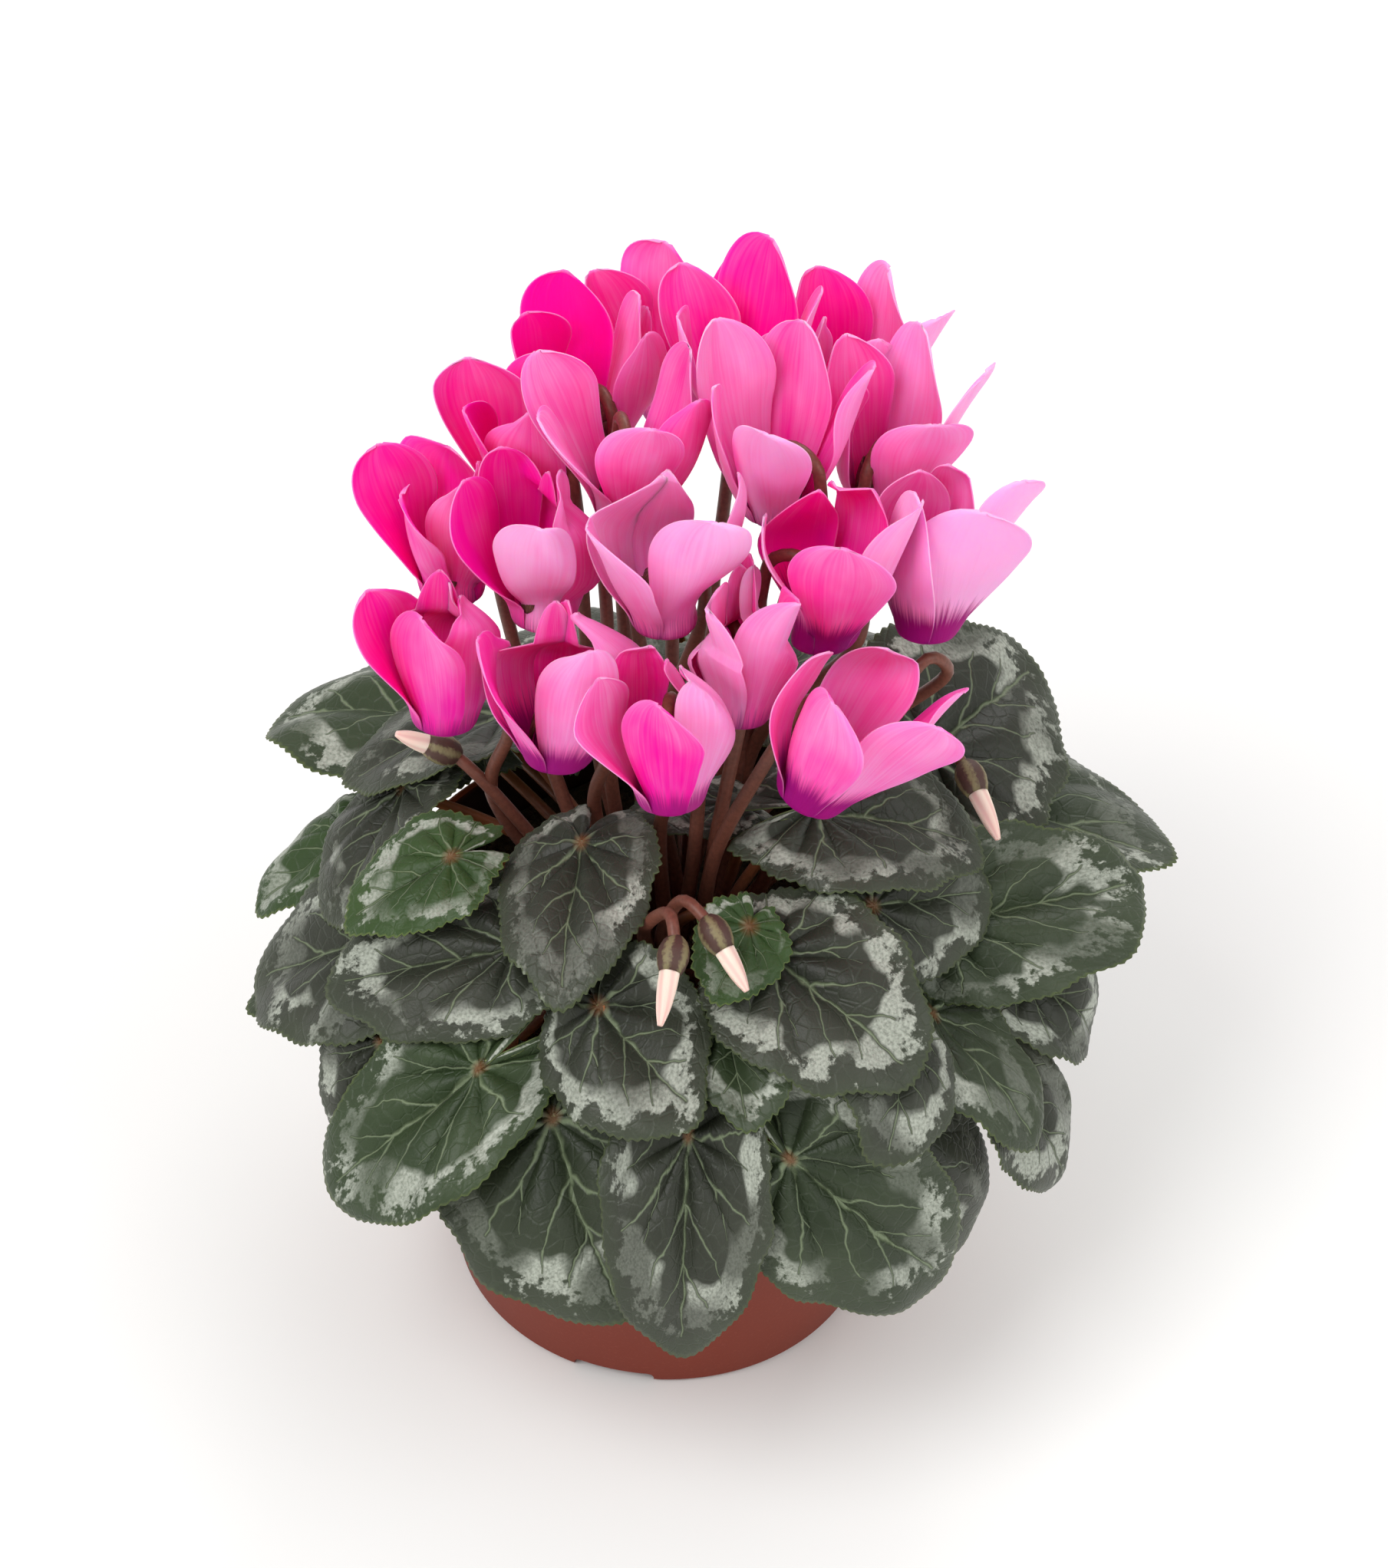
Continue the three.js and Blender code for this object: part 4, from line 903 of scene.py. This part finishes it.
def catmullRom(stations, count):
    # the same centripetal curve that the solids' stalks follow
    padded = [2 * stations[0] - stations[1], *stations, 2 * stations[-1] - stations[-2]]
    points = []
    for k in range(1, len(padded) - 2):
        p0, p1, p2, p3 = padded[k - 1:k + 3]
        d0, d1, d2 = (max(np.linalg.norm(b - a) ** 0.5, 1e-4) for a, b in ((p0, p1), (p1, p2), (p2, p3)))
        m1 = ((p1 - p0) / d0 - (p2 - p0) / (d0 + d1) + (p2 - p1) / d1) * d1
        m2 = ((p2 - p1) / d1 - (p3 - p1) / (d1 + d2) + (p3 - p2) / d2) * d1
        for t in np.linspace(0, 1, count, endpoint=False):
            points.append(p1 * (2 * t ** 3 - 3 * t ** 2 + 1) + m1 * (t ** 3 - 2 * t ** 2 + t)
                          + p2 * (3 * t ** 2 - 2 * t ** 3) + m2 * (t ** 3 - t ** 2))
    return points + [stations[-1]]


def petiolePath(blade, row, order):
    along = unit(np.array(row["tip"], float) - blade["joint"])
    flat = row.get("flat", stalkShape["petioleFlat"])
    end = blade["joint"] - blade["normal"] * stalkShape["petioleDrop"]
    start = crownStart(end, order)
    span = np.linalg.norm(end - start)
    out = unit(np.array((end[0] - start[0], end[1] - start[1], 0.0)))
    side = np.cross(out, (0, 0, 1)) * row.get("swing", 0)
    approach = blade["normal"] * math.sqrt(1 - flat * flat) + along * flat
    rise = np.array((0, 0, stalkShape["petioleRise"] * span))
    first = start + rise + out * stalkShape["petioleOut"] * span + side
    second = end - approach * stalkShape["petioleApproach"] * span + side
    second[2] = max(second[2], min(end[2] + 3, stalkShape["rimClear"]))
    curve = bezier(start, first, second, end, stalkShape["petioleSteps"])
    return np.vstack([curve, blade["joint"] - blade["normal"] * 0.2])


def stalkPath(row, order):
    nose, axis, door, _ = bloomFrame(row)
    hook = stalkShape["hookRadius"]
    base = stalkShape["tubeTop"] + stalkShape["calyxHeight"] - 1
    angles = np.radians(np.arange(*stalkShape["hookTurns"]))[:, None]
    over = nose + door * hook * (1 - np.cos(angles)) + axis * (base + hook * np.sin(angles))
    top = nose + door * (2 * hook + 0.6) + axis * 7
    under = nose + door * (2 * hook + 1.6) - axis * 4
    start = crownStart(under, order + 0.5)
    waist = np.array((*row["waist"], stalkShape["waistHeight"]), float)
    return np.vstack([over, catmullRom([top, under, waist, start], 5)])[::-1]


def budPath(row, order):
    calyx, tip, bend, waist = (np.array(row[name], float) for name in ("calyx", "tip", "bend", "waist"))
    start = crownStart(bend, order + 0.25)
    return np.array(catmullRom([calyx - unit(tip - calyx), bend, waist, start], 6))[::-1]


def fadedPath(row):
    stations = [np.array(row[name], float) for name in ("calyx", "bend", "side", "waist")]
    return np.array(catmullRom([*stations, crownStart(row["side"], row["order"])], 8))[::-1]


def stalkMaterial():
    # Fleshy stalks: red-brown skin with darker flecks, orange where a leaf stalk nears its blade
    material, tree = newMaterial("fleshy cyclamen stalk", Roughness=0.42, IOR=1.4)
    way, leafy = (addNode(tree, "ShaderNodeAttribute", output="Fac", attribute_name="stalk" + name)
                  for name in ("Way", "Leafy"))
    place = addNode(tree, "ShaderNodeTexCoord", output="Object")
    fleck = addNode(tree, "ShaderNodeTexNoise", {"Vector": place, "Scale": 1.1 / mm, "Detail": 4.0, "Roughness": 0.65})
    nearBlade = addNode(tree, "ShaderNodeMapRange", way, 0.45, 0.95)
    orange = addNode(tree, "ShaderNodeMath", nearBlade, leafy, operation="MULTIPLY")
    brown = addNode(tree, "ShaderNodeMix", {0: fleck, 6: "#47261f", 7: "#8a5342"}, **inColour)
    colour = addNode(tree, "ShaderNodeMix", {0: orange, 6: brown, 7: "#9a5a26"}, **inColour)
    return finishMaterial(material, colour, fleck, 0.3, 0.2)


def stalkTubes(tree, given):
    curve = addNode(tree, "GeometryNodeMeshToCurve", {"Mesh": given["Geometry"]})
    smooth = addNode(tree, "GeometryNodeCurveSplineType", {"Curve": curve}, spline_type="CATMULL_ROM")
    even = addNode(tree, "GeometryNodeResampleCurve", {"Curve": smooth, "Length": given["Spacing"]}, mode="LENGTH")
    thickness = addNode(tree, "GeometryNodeInputNamedAttribute", {"Name": "thickness"}, data_type="FLOAT")
    circle = addNode(tree, "GeometryNodeCurvePrimitiveCircle", {"Resolution": given["Sides"], "Radius": 1.0})
    return addNode(tree, "GeometryNodeCurveToMesh", {"Curve": even, "Profile Curve": circle, "Scale": thickness,
                                                 "Fill Caps": True})


def pathsMesh(paths):
    # one mesh of open polylines: (points, foot and top radius, leafy)
    points, edges, thickness, ways, leafy = [], [], [], [], []
    flare, fade = stalkShape["footFlare"]
    for path, radii, kind in paths:
        first = sum(len(chunk) for chunk in points)
        edges += [(first + i, first + i + 1) for i in range(len(path) - 1)]
        steps = np.concatenate([[0], np.cumsum(np.linalg.norm(np.diff(path, axis=0), axis=1))])
        way = steps / steps[-1]
        points.append(path)
        ways.append(way)
        thickness.append((radii[0] + (radii[1] - radii[0]) * way + flare * np.exp(-steps / fade)) * mm)
        leafy.append(np.full(len(path), kind))
    mesh = bpy.data.meshes.new("stalk paths")
    mesh.from_pydata((np.concatenate(points) * mm).tolist(), edges, [])
    for name, chunks in (("thickness", thickness), ("stalkWay", ways), ("stalkLeafy", leafy)):
        addAttribute(mesh, name, np.concatenate(chunks))
    return mesh


paths = [(petiolePath(blade, leafRows[i], i), stalkShape["petioleRadius"], 1.0) for i, blade in enumerate(bladeJoints)]
flowering = [stalkPath(row, i) for i, row in enumerate(bloomRows)] + [budPath(row, i) for i, row in enumerate(budRows)]
paths += [(path, stalkShape["stalkRadius"], 0.0) for path in [*flowering, fadedPath(fadedRow)]]
stalkSettings = {"Spacing": stalkShape["spacing"] * mm, "Sides": stalkShape["sides"]}
stalks = growPiece("stalks", pathsMesh(paths), stalkSettings, stalkMaterial(), stalkTubes)
dress(stalks, "stalk", "corm_with_stalks")
print("stalks made:", len(paths))

# Calyces: a cup on each bloom's tube, with five pointed sepals round it
calyxShape = {
    "cupRadius": 4.3,
    "cupSides": 25,
    "sepalLength": 6.5,
    "sepalWidth": 4.2,
    "sepalHalfThickness": 0.22,
    "sepalGrid": (9, 7),
    "sepalEnd": 0.99,
    "sepals": 5,
}


def calyxMaterial():
    # A calyx: matt green-brown skin with dark streaks
    material, tree = newMaterial("matt cyclamen calyx", Roughness=0.6)
    place = addNode(tree, "ShaderNodeTexCoord", output="Object")
    drawnOut = addNode(tree, "ShaderNodeVectorMath", place, (1.6 / mm, 1.6 / mm, 0.35 / mm), operation="MULTIPLY")
    streak = addNode(tree, "ShaderNodeTexNoise", {"Vector": drawnOut, "Scale": 1.0, "Detail": 4.0})
    panel = addNode(tree, "ShaderNodeAttribute", output="Fac", attribute_name="calyxPanel")
    panelled = addNode(tree, "ShaderNodeMath", panel, 0.35, streak, operation="MULTIPLY_ADD")
    green = addNode(tree, "ShaderNodeMapRange", panelled, 0.4, 0.8)
    colour = addNode(tree, "ShaderNodeMix", {0: green, 6: "#4a3027", 7: "#7d7350"}, **inColour)
    return finishMaterial(material, colour, streak, 0.4, 0.2)


def sepalMesh():
    # a pointed blade that starts on the cup and lies down along the tube
    # its tip keeps a little width, so that it has a normal
    rows, columns = calyxShape["sepalGrid"]
    t = np.linspace(0, calyxShape["sepalEnd"], rows)[:, None]
    q = np.linspace(-1, 1, columns)
    half = calyxShape["sepalWidth"] / 2 * np.sqrt(np.maximum(0, 1 - t ** 1.6)) * (0.75 + 0.5 * t)
    y = q * half
    radius = 4.5 + 0.9 * t - 0.12 * y ** 2 + 0.25 * np.sin(np.pi * t)
    points = np.stack([radius + 0 * q, y, 1.0 - t * calyxShape["sepalLength"] + 0 * q], -1)
    parts = emptyParts()
    addSheet(parts, points, calyxShape["sepalHalfThickness"])
    return makePiece("sepal", parts, [])


def sepalRing(sepal):
    def build(tree, given):
        copied = {"Geometry": given["Geometry"], "Amount": given["Sepals"]}
        copies = addNode(tree, "GeometryNodeDuplicateElements", copied, output=None, domain="POINT")
        axis, side = (addNode(tree, "GeometryNodeInputNamedAttribute", name, data_type="FLOAT_VECTOR")
                      for name in ("axis", "side"))
        facing = {"Primary Axis": axis, "Secondary Axis": side}
        upright = addNode(tree, "FunctionNodeAxesToRotation", facing)
        step = addNode(tree, "ShaderNodeMath", 2 * math.pi, given["Sepals"], operation="DIVIDE")
        angle = addNode(tree, "ShaderNodeMath", copies["Duplicate Index"], step, operation="MULTIPLY")
        spin = addNode(tree, "FunctionNodeAxisAngleToRotation", {"Angle": angle})
        turn = addNode(tree, "FunctionNodeRotateRotation", upright, spin, rotation_space="LOCAL")
        shape = addNode(tree, "GeometryNodeObjectInfo", {"Object": sepal}, output="Geometry")
        placed = {"Points": copies["Geometry"], "Instance": shape, "Rotation": turn}
        return addNode(tree, "GeometryNodeInstanceOnPoints", placed)
    return build


def calyxPoints():
    mesh = bpy.data.meshes.new("calyx points")
    frames = [bloomFrame(row) for row in bloomRows]
    mesh.from_pydata([tuple((nose + axis * stalkShape["tubeTop"]) * mm) for nose, axis, _, _ in frames], [], [])
    for order, name in ((1, "axis"), (2, "side")):
        addAttribute(mesh, name, [bloom[order] for bloom in frames], "FLOAT_VECTOR")
    return mesh


def cupProfile():
    top = stalkShape["tubeTop"]
    radius = calyxShape["cupRadius"]
    return [(0.05, top - 0.4), (radius - 0.6, top - 0.4), (radius, top + 0.3), (radius - 0.1, top + 1.4),
            (radius - 1.4, top + 2.9), (1.5, top + 4.2), (0.05, top + 4.4)]


calyxSkin = calyxMaterial()
sepal = sepalMesh()
sepals = growPiece("sepals", calyxPoints(), {"Sepals": calyxShape["sepals"]}, calyxSkin, sepalRing(sepal))
bpy.data.objects.remove(sepal)
dress(sepals, "stalk")
cups = emptyParts()
for row in bloomRows:
    nose, axis, door, side = bloomFrame(row)
    addPart(cups, *lathe(cupProfile(), calyxShape["cupSides"], nose, np.array((door, side, axis))))
dress(makePiece("calyx_cups", cups, [calyxSkin]), "stalk")
print("calyces made:", len(bloomRows))

# Buds: petals rolled into a twisted cone, in a small calyx
budShape = {
    "ways": (0, 0.2, 0.5, 0.8, 1),
    "radii": (1.9, 1.95, 1.75, 1.2, 0.55),
    "seat": 2.5,
    "twist": 160,
    "ridges": 5,
    "ridgeDepth": 0.05,
    "rows": 28,
    "sides": 40,
    "calyx": ((0.05, -2.9), (1.3, -2.7), (2.4, -1.6), (3.0, 0.0), (3.1, 1.6), (2.7, 3.4), (2.1, 4.8), (1.7, 4.6),
              (0.05, 3)),
}


def budMaterial():
    # A closed bud: waxy cream petals flushed pink, paler along the twisted ridges
    material, tree = newMaterial("closed cyclamen bud", Roughness=0.45, IOR=1.4, Subsurface_Weight=0.3,
                                 Subsurface_Radius=(1.0, 0.6, 0.5), Subsurface_Scale=1.2 * mm)
    way, ridge = (addNode(tree, "ShaderNodeAttribute", output="Fac", attribute_name="bud" + name)
                  for name in ("Way", "Ridge"))
    groove = addNode(tree, "ShaderNodeMapRange", ridge, -1.0, 0.2, 0.4, 0.0)
    cream = addNode(tree, "ShaderNodeMix", {0: way, 6: "#f6e6d4", 7: "#f2cfc2"}, **inColour)
    return finishMaterial(material, addNode(tree, "ShaderNodeMix", {0: groove, 6: cream, 7: "#dc9a9a"}, **inColour))


def budFrame(row):
    calyx = np.array(row["calyx"], float)
    tip = np.array(row["tip"], float)
    axis = unit(tip - calyx)
    side = unit(np.cross(axis, (0, 0, 1)))
    return calyx, np.array((side, np.cross(axis, side), axis)), np.linalg.norm(tip - calyx)


def calyxCup(name, row):
    calyx, basis, _ = budFrame(row)
    sides = budShape["sides"]
    panel = np.tile(np.cos(ringAngles(sides) * calyxShape["sepals"]), len(budShape["calyx"]))
    dress(onePart(name, *lathe(budShape["calyx"], sides, calyx, basis), [calyxSkin], calyxPanel=panel), "stalk")


def budPiece(row, index, material):
    calyx, basis, length = budFrame(row)
    rows, sides, seat = (budShape[name] for name in ("rows", "sides", "seat"))
    t = np.linspace(0, 1, rows)[:, None]
    angles = ringAngles(sides)
    ridge = np.cos(budShape["ridges"] * (angles + np.radians(budShape["twist"]) * t / budShape["ridges"]))
    radius = throughStations(budShape["ways"], budShape["radii"], t) * (1 + budShape["ridgeDepth"] * ridge)
    points = calyx + turned(angles, radius, seat + t * (length - seat)) @ basis
    name = f"bud_{index + 1:02d}"
    piece = onePart(name + "_petals", points, latheFaces(rows, sides), [material],
                    budWay=(t + 0 * angles).ravel(), budRidge=ridge.ravel())
    dress(piece, "bud", name)
    calyxCup(name + "_calyx", row)


budSkin = budMaterial()
for index, row in enumerate(budRows):
    budPiece(row, index, budSkin)
calyxCup("faded_flower_calyx", fadedRow)
print("buds and faded flower made:", len(budRows) + 1)

# Pot: a tapered tub with a lip, whose foot has four low channels with a drain hole in each
potShape = {
    "height": 90,
    "rimRadius": 60,
    "footRadius": 43.5,
    "wall": 1.8,
    "lipHeight": 11,
    "lipReach": 2.2,
    "floorTop": 5.2,
    "channelHeight": 3.2,
    "channelWidth": 17,
    "channelStart": 26,
    "channelTurn": -101.5,
    "channels": 4,
    "drainRadius": 4,
    "drainPlace": 32,
    "drainCut": (-9, 12),
    "drainSides": 40,
    "sides": 180,
    "sharpAngle": 32,
}


def potRadius(height):
    body = potShape["height"] - potShape["lipHeight"]
    foot = potShape["footRadius"]
    return foot + (potShape["rimRadius"] - potShape["lipReach"] - foot) * height / body


def potMaterial():
    # Moulded polypropylene, terracotta brown: an even satin skin with faint scuffs
    material, tree = newMaterial("moulded terracotta-brown polypropylene", IOR=1.49, Specular_IOR_Level=0.25)
    place = addNode(tree, "ShaderNodeTexCoord", output="Object")
    cloud = addNode(tree, "ShaderNodeTexNoise", {"Vector": place, "Scale": 0.03 / mm, "Detail": 3.0})
    speck = addNode(tree, "ShaderNodeTexNoise", {"Vector": place, "Scale": 1.5 / mm, "Detail": 3.0})
    scuff = addNode(tree, "ShaderNodeMapRange", speck, 0.55, 0.8, 0.0, 0.25)
    brown = addNode(tree, "ShaderNodeMix", {0: cloud, 6: "#742a19", 7: "#7f3220"}, **inColour)
    dusty = addNode(tree, "ShaderNodeMix", {0: scuff, 6: brown, 7: "#9a5241"}, **inColour)
    # Painted shade: the inner wall, which faces the axis, is painted near-black for the shade that falls inside the pot
    facing = addNode(tree, "ShaderNodeNewGeometry", output="Normal")
    outwards = addNode(tree, "ShaderNodeVectorMath", place, facing, output="Value", operation="DOT_PRODUCT")
    inside = addNode(tree, "ShaderNodeMapRange", outwards, -0.03, 0.0, 0.92, 0.0)
    # the near-black colour here is painted shade on the inner wall
    colour = addNode(tree, "ShaderNodeMix", {0: inside, 6: dusty, 7: "#1d1712"}, **inColour)
    satin = addNode(tree, "ShaderNodeMapRange", cloud, 0.0, 1.0, 0.5, 0.62)
    tree.links.new(satin, tree.nodes["Principled BSDF"].inputs["Roughness"])
    return finishMaterial(material, colour, speck, 0.12, 0.1)


def potProfile():
    top, rim, wall, foot, floor = (potShape[name] for name in ("height", "rimRadius", "wall", "footRadius", "floorTop"))
    lip = top - potShape["lipHeight"]
    outside = [(0.02, 0), (foot - 1.6, 0), (foot - 0.7, 0.25), (potRadius(1.2), 1.2), (potRadius(lip - 1), lip - 1),
               (potRadius(lip) + 0.1, lip - 0.3), (rim - 0.5, lip + 0.4), (rim - 0.2, lip + 1.2), (rim, top - 1.3)]
    inside = [(rim - 0.25, top - 0.4), (rim - 0.9, top), (rim - wall, top - 0.2), (rim - wall - 0.3, top - 0.9),
              (potRadius(lip) - wall, lip), (potRadius(floor) - wall, floor + 1.5),
              (potRadius(floor) - wall - 1.4, floor), (0.02, floor)]
    return outside + inside


def potCutters():
    # bars with an arched section for the channels, and a rod for each drain hole
    half = potShape["channelWidth"] / 2
    high = potShape["channelHeight"]
    section = [(-half, -high), (half, -high), (half, high - 1.2), (half - 0.5, high - 0.3), (half - 1.4, high),
               (-half + 1.4, high), (-half + 0.5, high - 0.3), (-half, high - 1.2)]
    count = len(section)
    bar = np.array([(x, y, z) for x in (potShape["channelStart"], 2 * potShape["footRadius"]) for y, z in section])
    barFaces = [[k, (k + 1) % count, (k + 1) % count + count, k + count] for k in range(count)]
    barFaces += [list(range(count))[::-1], list(range(count, 2 * count))]
    drain, drainFaces = lathe([(potShape["drainRadius"], z) for z in potShape["drainCut"]], potShape["drainSides"])
    parts = emptyParts()
    for i in range(potShape["channels"]):
        angle = math.radians(potShape["channelTurn"]) + 2 * math.pi * i / potShape["channels"]
        turn = np.array(((math.cos(angle), math.sin(angle), 0), (-math.sin(angle), math.cos(angle), 0), (0, 0, 1)))
        addPart(parts, bar @ turn, barFaces)
        addPart(parts, (drain + (potShape["drainPlace"], 0, 0)) @ turn, drainFaces)
    return makePiece("pot_cutter", parts, [])


def potPiece():
    pot = onePart("nursery_pot", *lathe(potProfile(), potShape["sides"]), [potMaterial()])
    cutter = potCutters()
    cut = pot.modifiers.new("channels and drains", "BOOLEAN")
    cut.object = cutter
    cut.solver = "EXACT"
    cut.use_self = True
    mesh = evaluatedMesh(pot)
    pot.modifiers.remove(cut)
    pot.data = mesh
    mesh.name = "nursery_pot"
    mesh.shade_smooth()
    mesh.set_sharp_from_angle(angle=math.radians(potShape["sharpAngle"]))
    bpy.data.objects.remove(cutter)
    dress(pot, "pot", "pot")


potPiece()
print("pot made")

# Soil: loose peat compost with crumbs on top, and the corm in it
soilShape = {
    "top": 80,
    "wallGap": 0.5,
    "floorGap": 0.15,
    "sides": 120,
    "roughness": 0.7,
    "seed": 3,
    "waves": 14,
    "waviness": 0.35,
    "ringCount": 23,
    "mouth": 15,
    "crumbDensity": 9e4,
    "crumbSize": (0.5, 1.7),
    "crumbStretch": ((0.6, 0.4, 0.4), (1.3, 1, 0.8)),
    "crumbSeed": 4,
    "bedSides": 60,
    "cormRadius": 17.8,
    "cormSides": 60,
    "cormRoughness": 0.5,
    "cormSeed": 9,
}


def soilMaterial():
    # Peat compost: fibrous dark brown crumbs, some dried paler
    material, tree = newMaterial("peat compost", Roughness=0.95)
    place = addNode(tree, "ShaderNodeTexCoord", output="Object")
    crumb = addNode(tree, "ShaderNodeTexVoronoi", {"Vector": place, "Scale": 0.45 / mm}, output="Color")
    dryness = addNode(tree, "ShaderNodeSeparateXYZ", crumb)
    grit = addNode(tree, "ShaderNodeTexNoise", {"Vector": place, "Scale": 1.6 / mm, "Detail": 5.0})
    crumbly = addNode(tree, "ShaderNodeMix", {0: dryness, 6: "#1d130d", 7: "#4a3526"}, **inColour)
    colour = addNode(tree, "ShaderNodeMix", {0: grit, 6: crumbly, 7: "#30221a"}, **inColour)
    return finishMaterial(material, colour, grit, 0.9, 0.5)


def cormMaterial():
    # The corm's corky skin: cracked dark brown
    material, tree = newMaterial("corky corm skin", Roughness=0.85)
    place = addNode(tree, "ShaderNodeTexCoord", output="Object")
    cracks = addNode(tree, "ShaderNodeTexVoronoi", {"Vector": place, "Scale": 0.4 / mm}, feature="DISTANCE_TO_EDGE")
    cork = addNode(tree, "ShaderNodeMapRange", cracks, 0.0, 0.2)
    colour = addNode(tree, "ShaderNodeMix", {0: cork, 6: "#2a1a12", 7: "#65462f"}, **inColour)
    return finishMaterial(material, colour, cork, 0.7, 0.5)


def moundPoints(profile, sides, roughness, seed):
    # a lathe whose surface is roughened by a few seeded waves
    points, faces = lathe(profile, sides)
    draw = np.random.default_rng(seed)
    lift = np.zeros(len(points))
    for _ in range(soilShape["waves"]):
        wave = draw.normal(0, soilShape["waviness"], 2)
        lift += np.sin(points[:, :2] @ wave + draw.uniform(0, 6.3))
    return points, faces, lift * roughness / 4


def soilPiece(material):
    wall = potShape["wall"] + soilShape["wallGap"]
    floor = potShape["floorTop"] + soilShape["floorGap"]
    top = soilShape["top"]
    edge = potRadius(top - 1) - wall
    count = soilShape["ringCount"]
    rings = [edge - 0.6 - (edge - soilShape["mouth"]) * k / (count - 1) for k in range(count)]
    profile = [(0.02, floor), (potRadius(floor) - wall - 1.6, floor), (potRadius(floor + 1.6) - wall, floor + 1.6),
               (edge, top - 1.5)]
    profile += [(radius, top) for radius in rings] + [(9, 71.5), (0.02, 70.2)]
    points, faces, lift = moundPoints(profile, soilShape["sides"], soilShape["roughness"], soilShape["seed"])
    onTop = points[:, 2] > top - 0.5
    points[onTop, 2] += lift[onTop]
    dress(onePart("compost", points, faces, [material]), "soil", "soil")
    return rings


def crumbs(tree, given):
    scattered = {"Mesh": given["Geometry"], "Density": given["Density"], "Seed": given["Seed"]}
    spread = addNode(tree, "GeometryNodeDistributePointsOnFaces", scattered)
    turn, size, stretch = (
        addNode(tree, "FunctionNodeRandomValue", {first: low, first + 1: high, "Seed": given["Seed"]},
                output=output, data_type=kind)
        for kind, low, high, first, output in (
            ("FLOAT_VECTOR", (0, 0, 0), (6.3, 6.3, 6.3), 0, 0),
            ("FLOAT", given["Smallest"], given["Largest"], 2, 1),
            ("FLOAT_VECTOR", *soilShape["crumbStretch"], 0, 0)))
    sized = addNode(tree, "ShaderNodeVectorMath", {0: stretch, "Scale": size}, operation="SCALE")
    crumb = addNode(tree, "GeometryNodeMeshIcoSphere", {"Radius": 1.0, "Subdivisions": 1})
    placed = {"Points": spread, "Instance": crumb, "Rotation": turn, "Scale": sized}
    return addNode(tree, "GeometryNodeInstanceOnPoints", placed)


def crumbBed(rings):
    # the ring of soil that the crumbs lie on
    sides = soilShape["bedSides"]
    radii = np.array((rings[0] - 1, rings[-1] + 4))[:, None]
    points = turned(ringAngles(sides), radii, soilShape["top"] + 0.1)
    bed = onePart("crumb bed", points, latheFaces(2, sides, False), [])
    mesh = bed.data
    bpy.data.objects.remove(bed)
    return mesh


def cormPiece(material):
    radius = soilShape["cormRadius"]
    profile = [(0.02, 70.3), (radius - 8.8, 71.1), (radius - 3, 73.9), (radius - 0.8, 76.5), (radius, 79),
               (radius - 0.3, 81), (radius - 1.4, 82.5), (radius - 3, 84.3), (13, 85.6), (10, 86.8), (6, 87.6),
               (0.02, 88.2)]
    points, faces, lift = moundPoints(
        profile, soilShape["cormSides"], soilShape["cormRoughness"], soilShape["cormSeed"])
    points *= (1 + 0.02 * lift)[:, None] ** np.array((1, 1, 0))
    dress(onePart("corm", points, faces, [material]), "stalk")


soilSkin = soilMaterial()
crumbBedMesh = crumbBed(soilPiece(soilSkin))
smallest, largest = soilShape["crumbSize"]
crumbSettings = {"Density": soilShape["crumbDensity"], "Smallest": smallest * mm, "Largest": largest * mm,
                 "Seed": soilShape["crumbSeed"]}
dress(growPiece("compost_crumbs", crumbBedMesh, crumbSettings, soilSkin, crumbs), "soil")
cormPiece(cormMaterial())
print("soil, crumbs and corm made")

# Floor and soft studio light
studio = {
    "floor": ("#f4f3f1", "#f8f8f7"),
    "floorReach": 9000,
    "world": "#ffffff",
    "worldStrength": 0.55,
    "lights": [
        {"name": "key", "place": (-700, -700, 1300), "size": 900, "power": 15},
        {"name": "fill", "place": (900, -500, 800), "size": 900, "power": 5},
        {"name": "back", "place": (200, 900, 900), "size": 700, "power": 5},
    ],
}


def makeStudio():
    material = plainMaterial("matt pale studio floor", 0.9, 3.0, *studio["floor"])
    far = studio["floorReach"]
    corners = [(-far, -far, 0), (far, -far, 0), (far, far, 0), (-far, far, 0)]
    onePart("floor", corners, [[0, 1, 2, 3]], [material])
    world = bpy.data.worlds.new("studio")
    world.use_nodes = True
    background = world.node_tree.nodes["Background"]
    background.inputs["Color"].default_value = linear(studio["world"])
    background.inputs["Strength"].default_value = studio["worldStrength"]
    bpy.context.scene.world = world
    for light in studio["lights"]:
        data = bpy.data.lights.new(light["name"], "AREA")
        data.size = light["size"] * mm
        data.energy = light["power"]
        lamp = newObject(light["name"], data)
        lamp.location = Vector(light["place"]) * mm
        aim = Vector(cameraView["target"]) * mm - lamp.location
        lamp.rotation_euler = aim.to_track_quat("-Z", "Y").to_euler()


makeStudio()
bpy.context.scene.view_settings.view_transform = "Standard"
print("studio made")
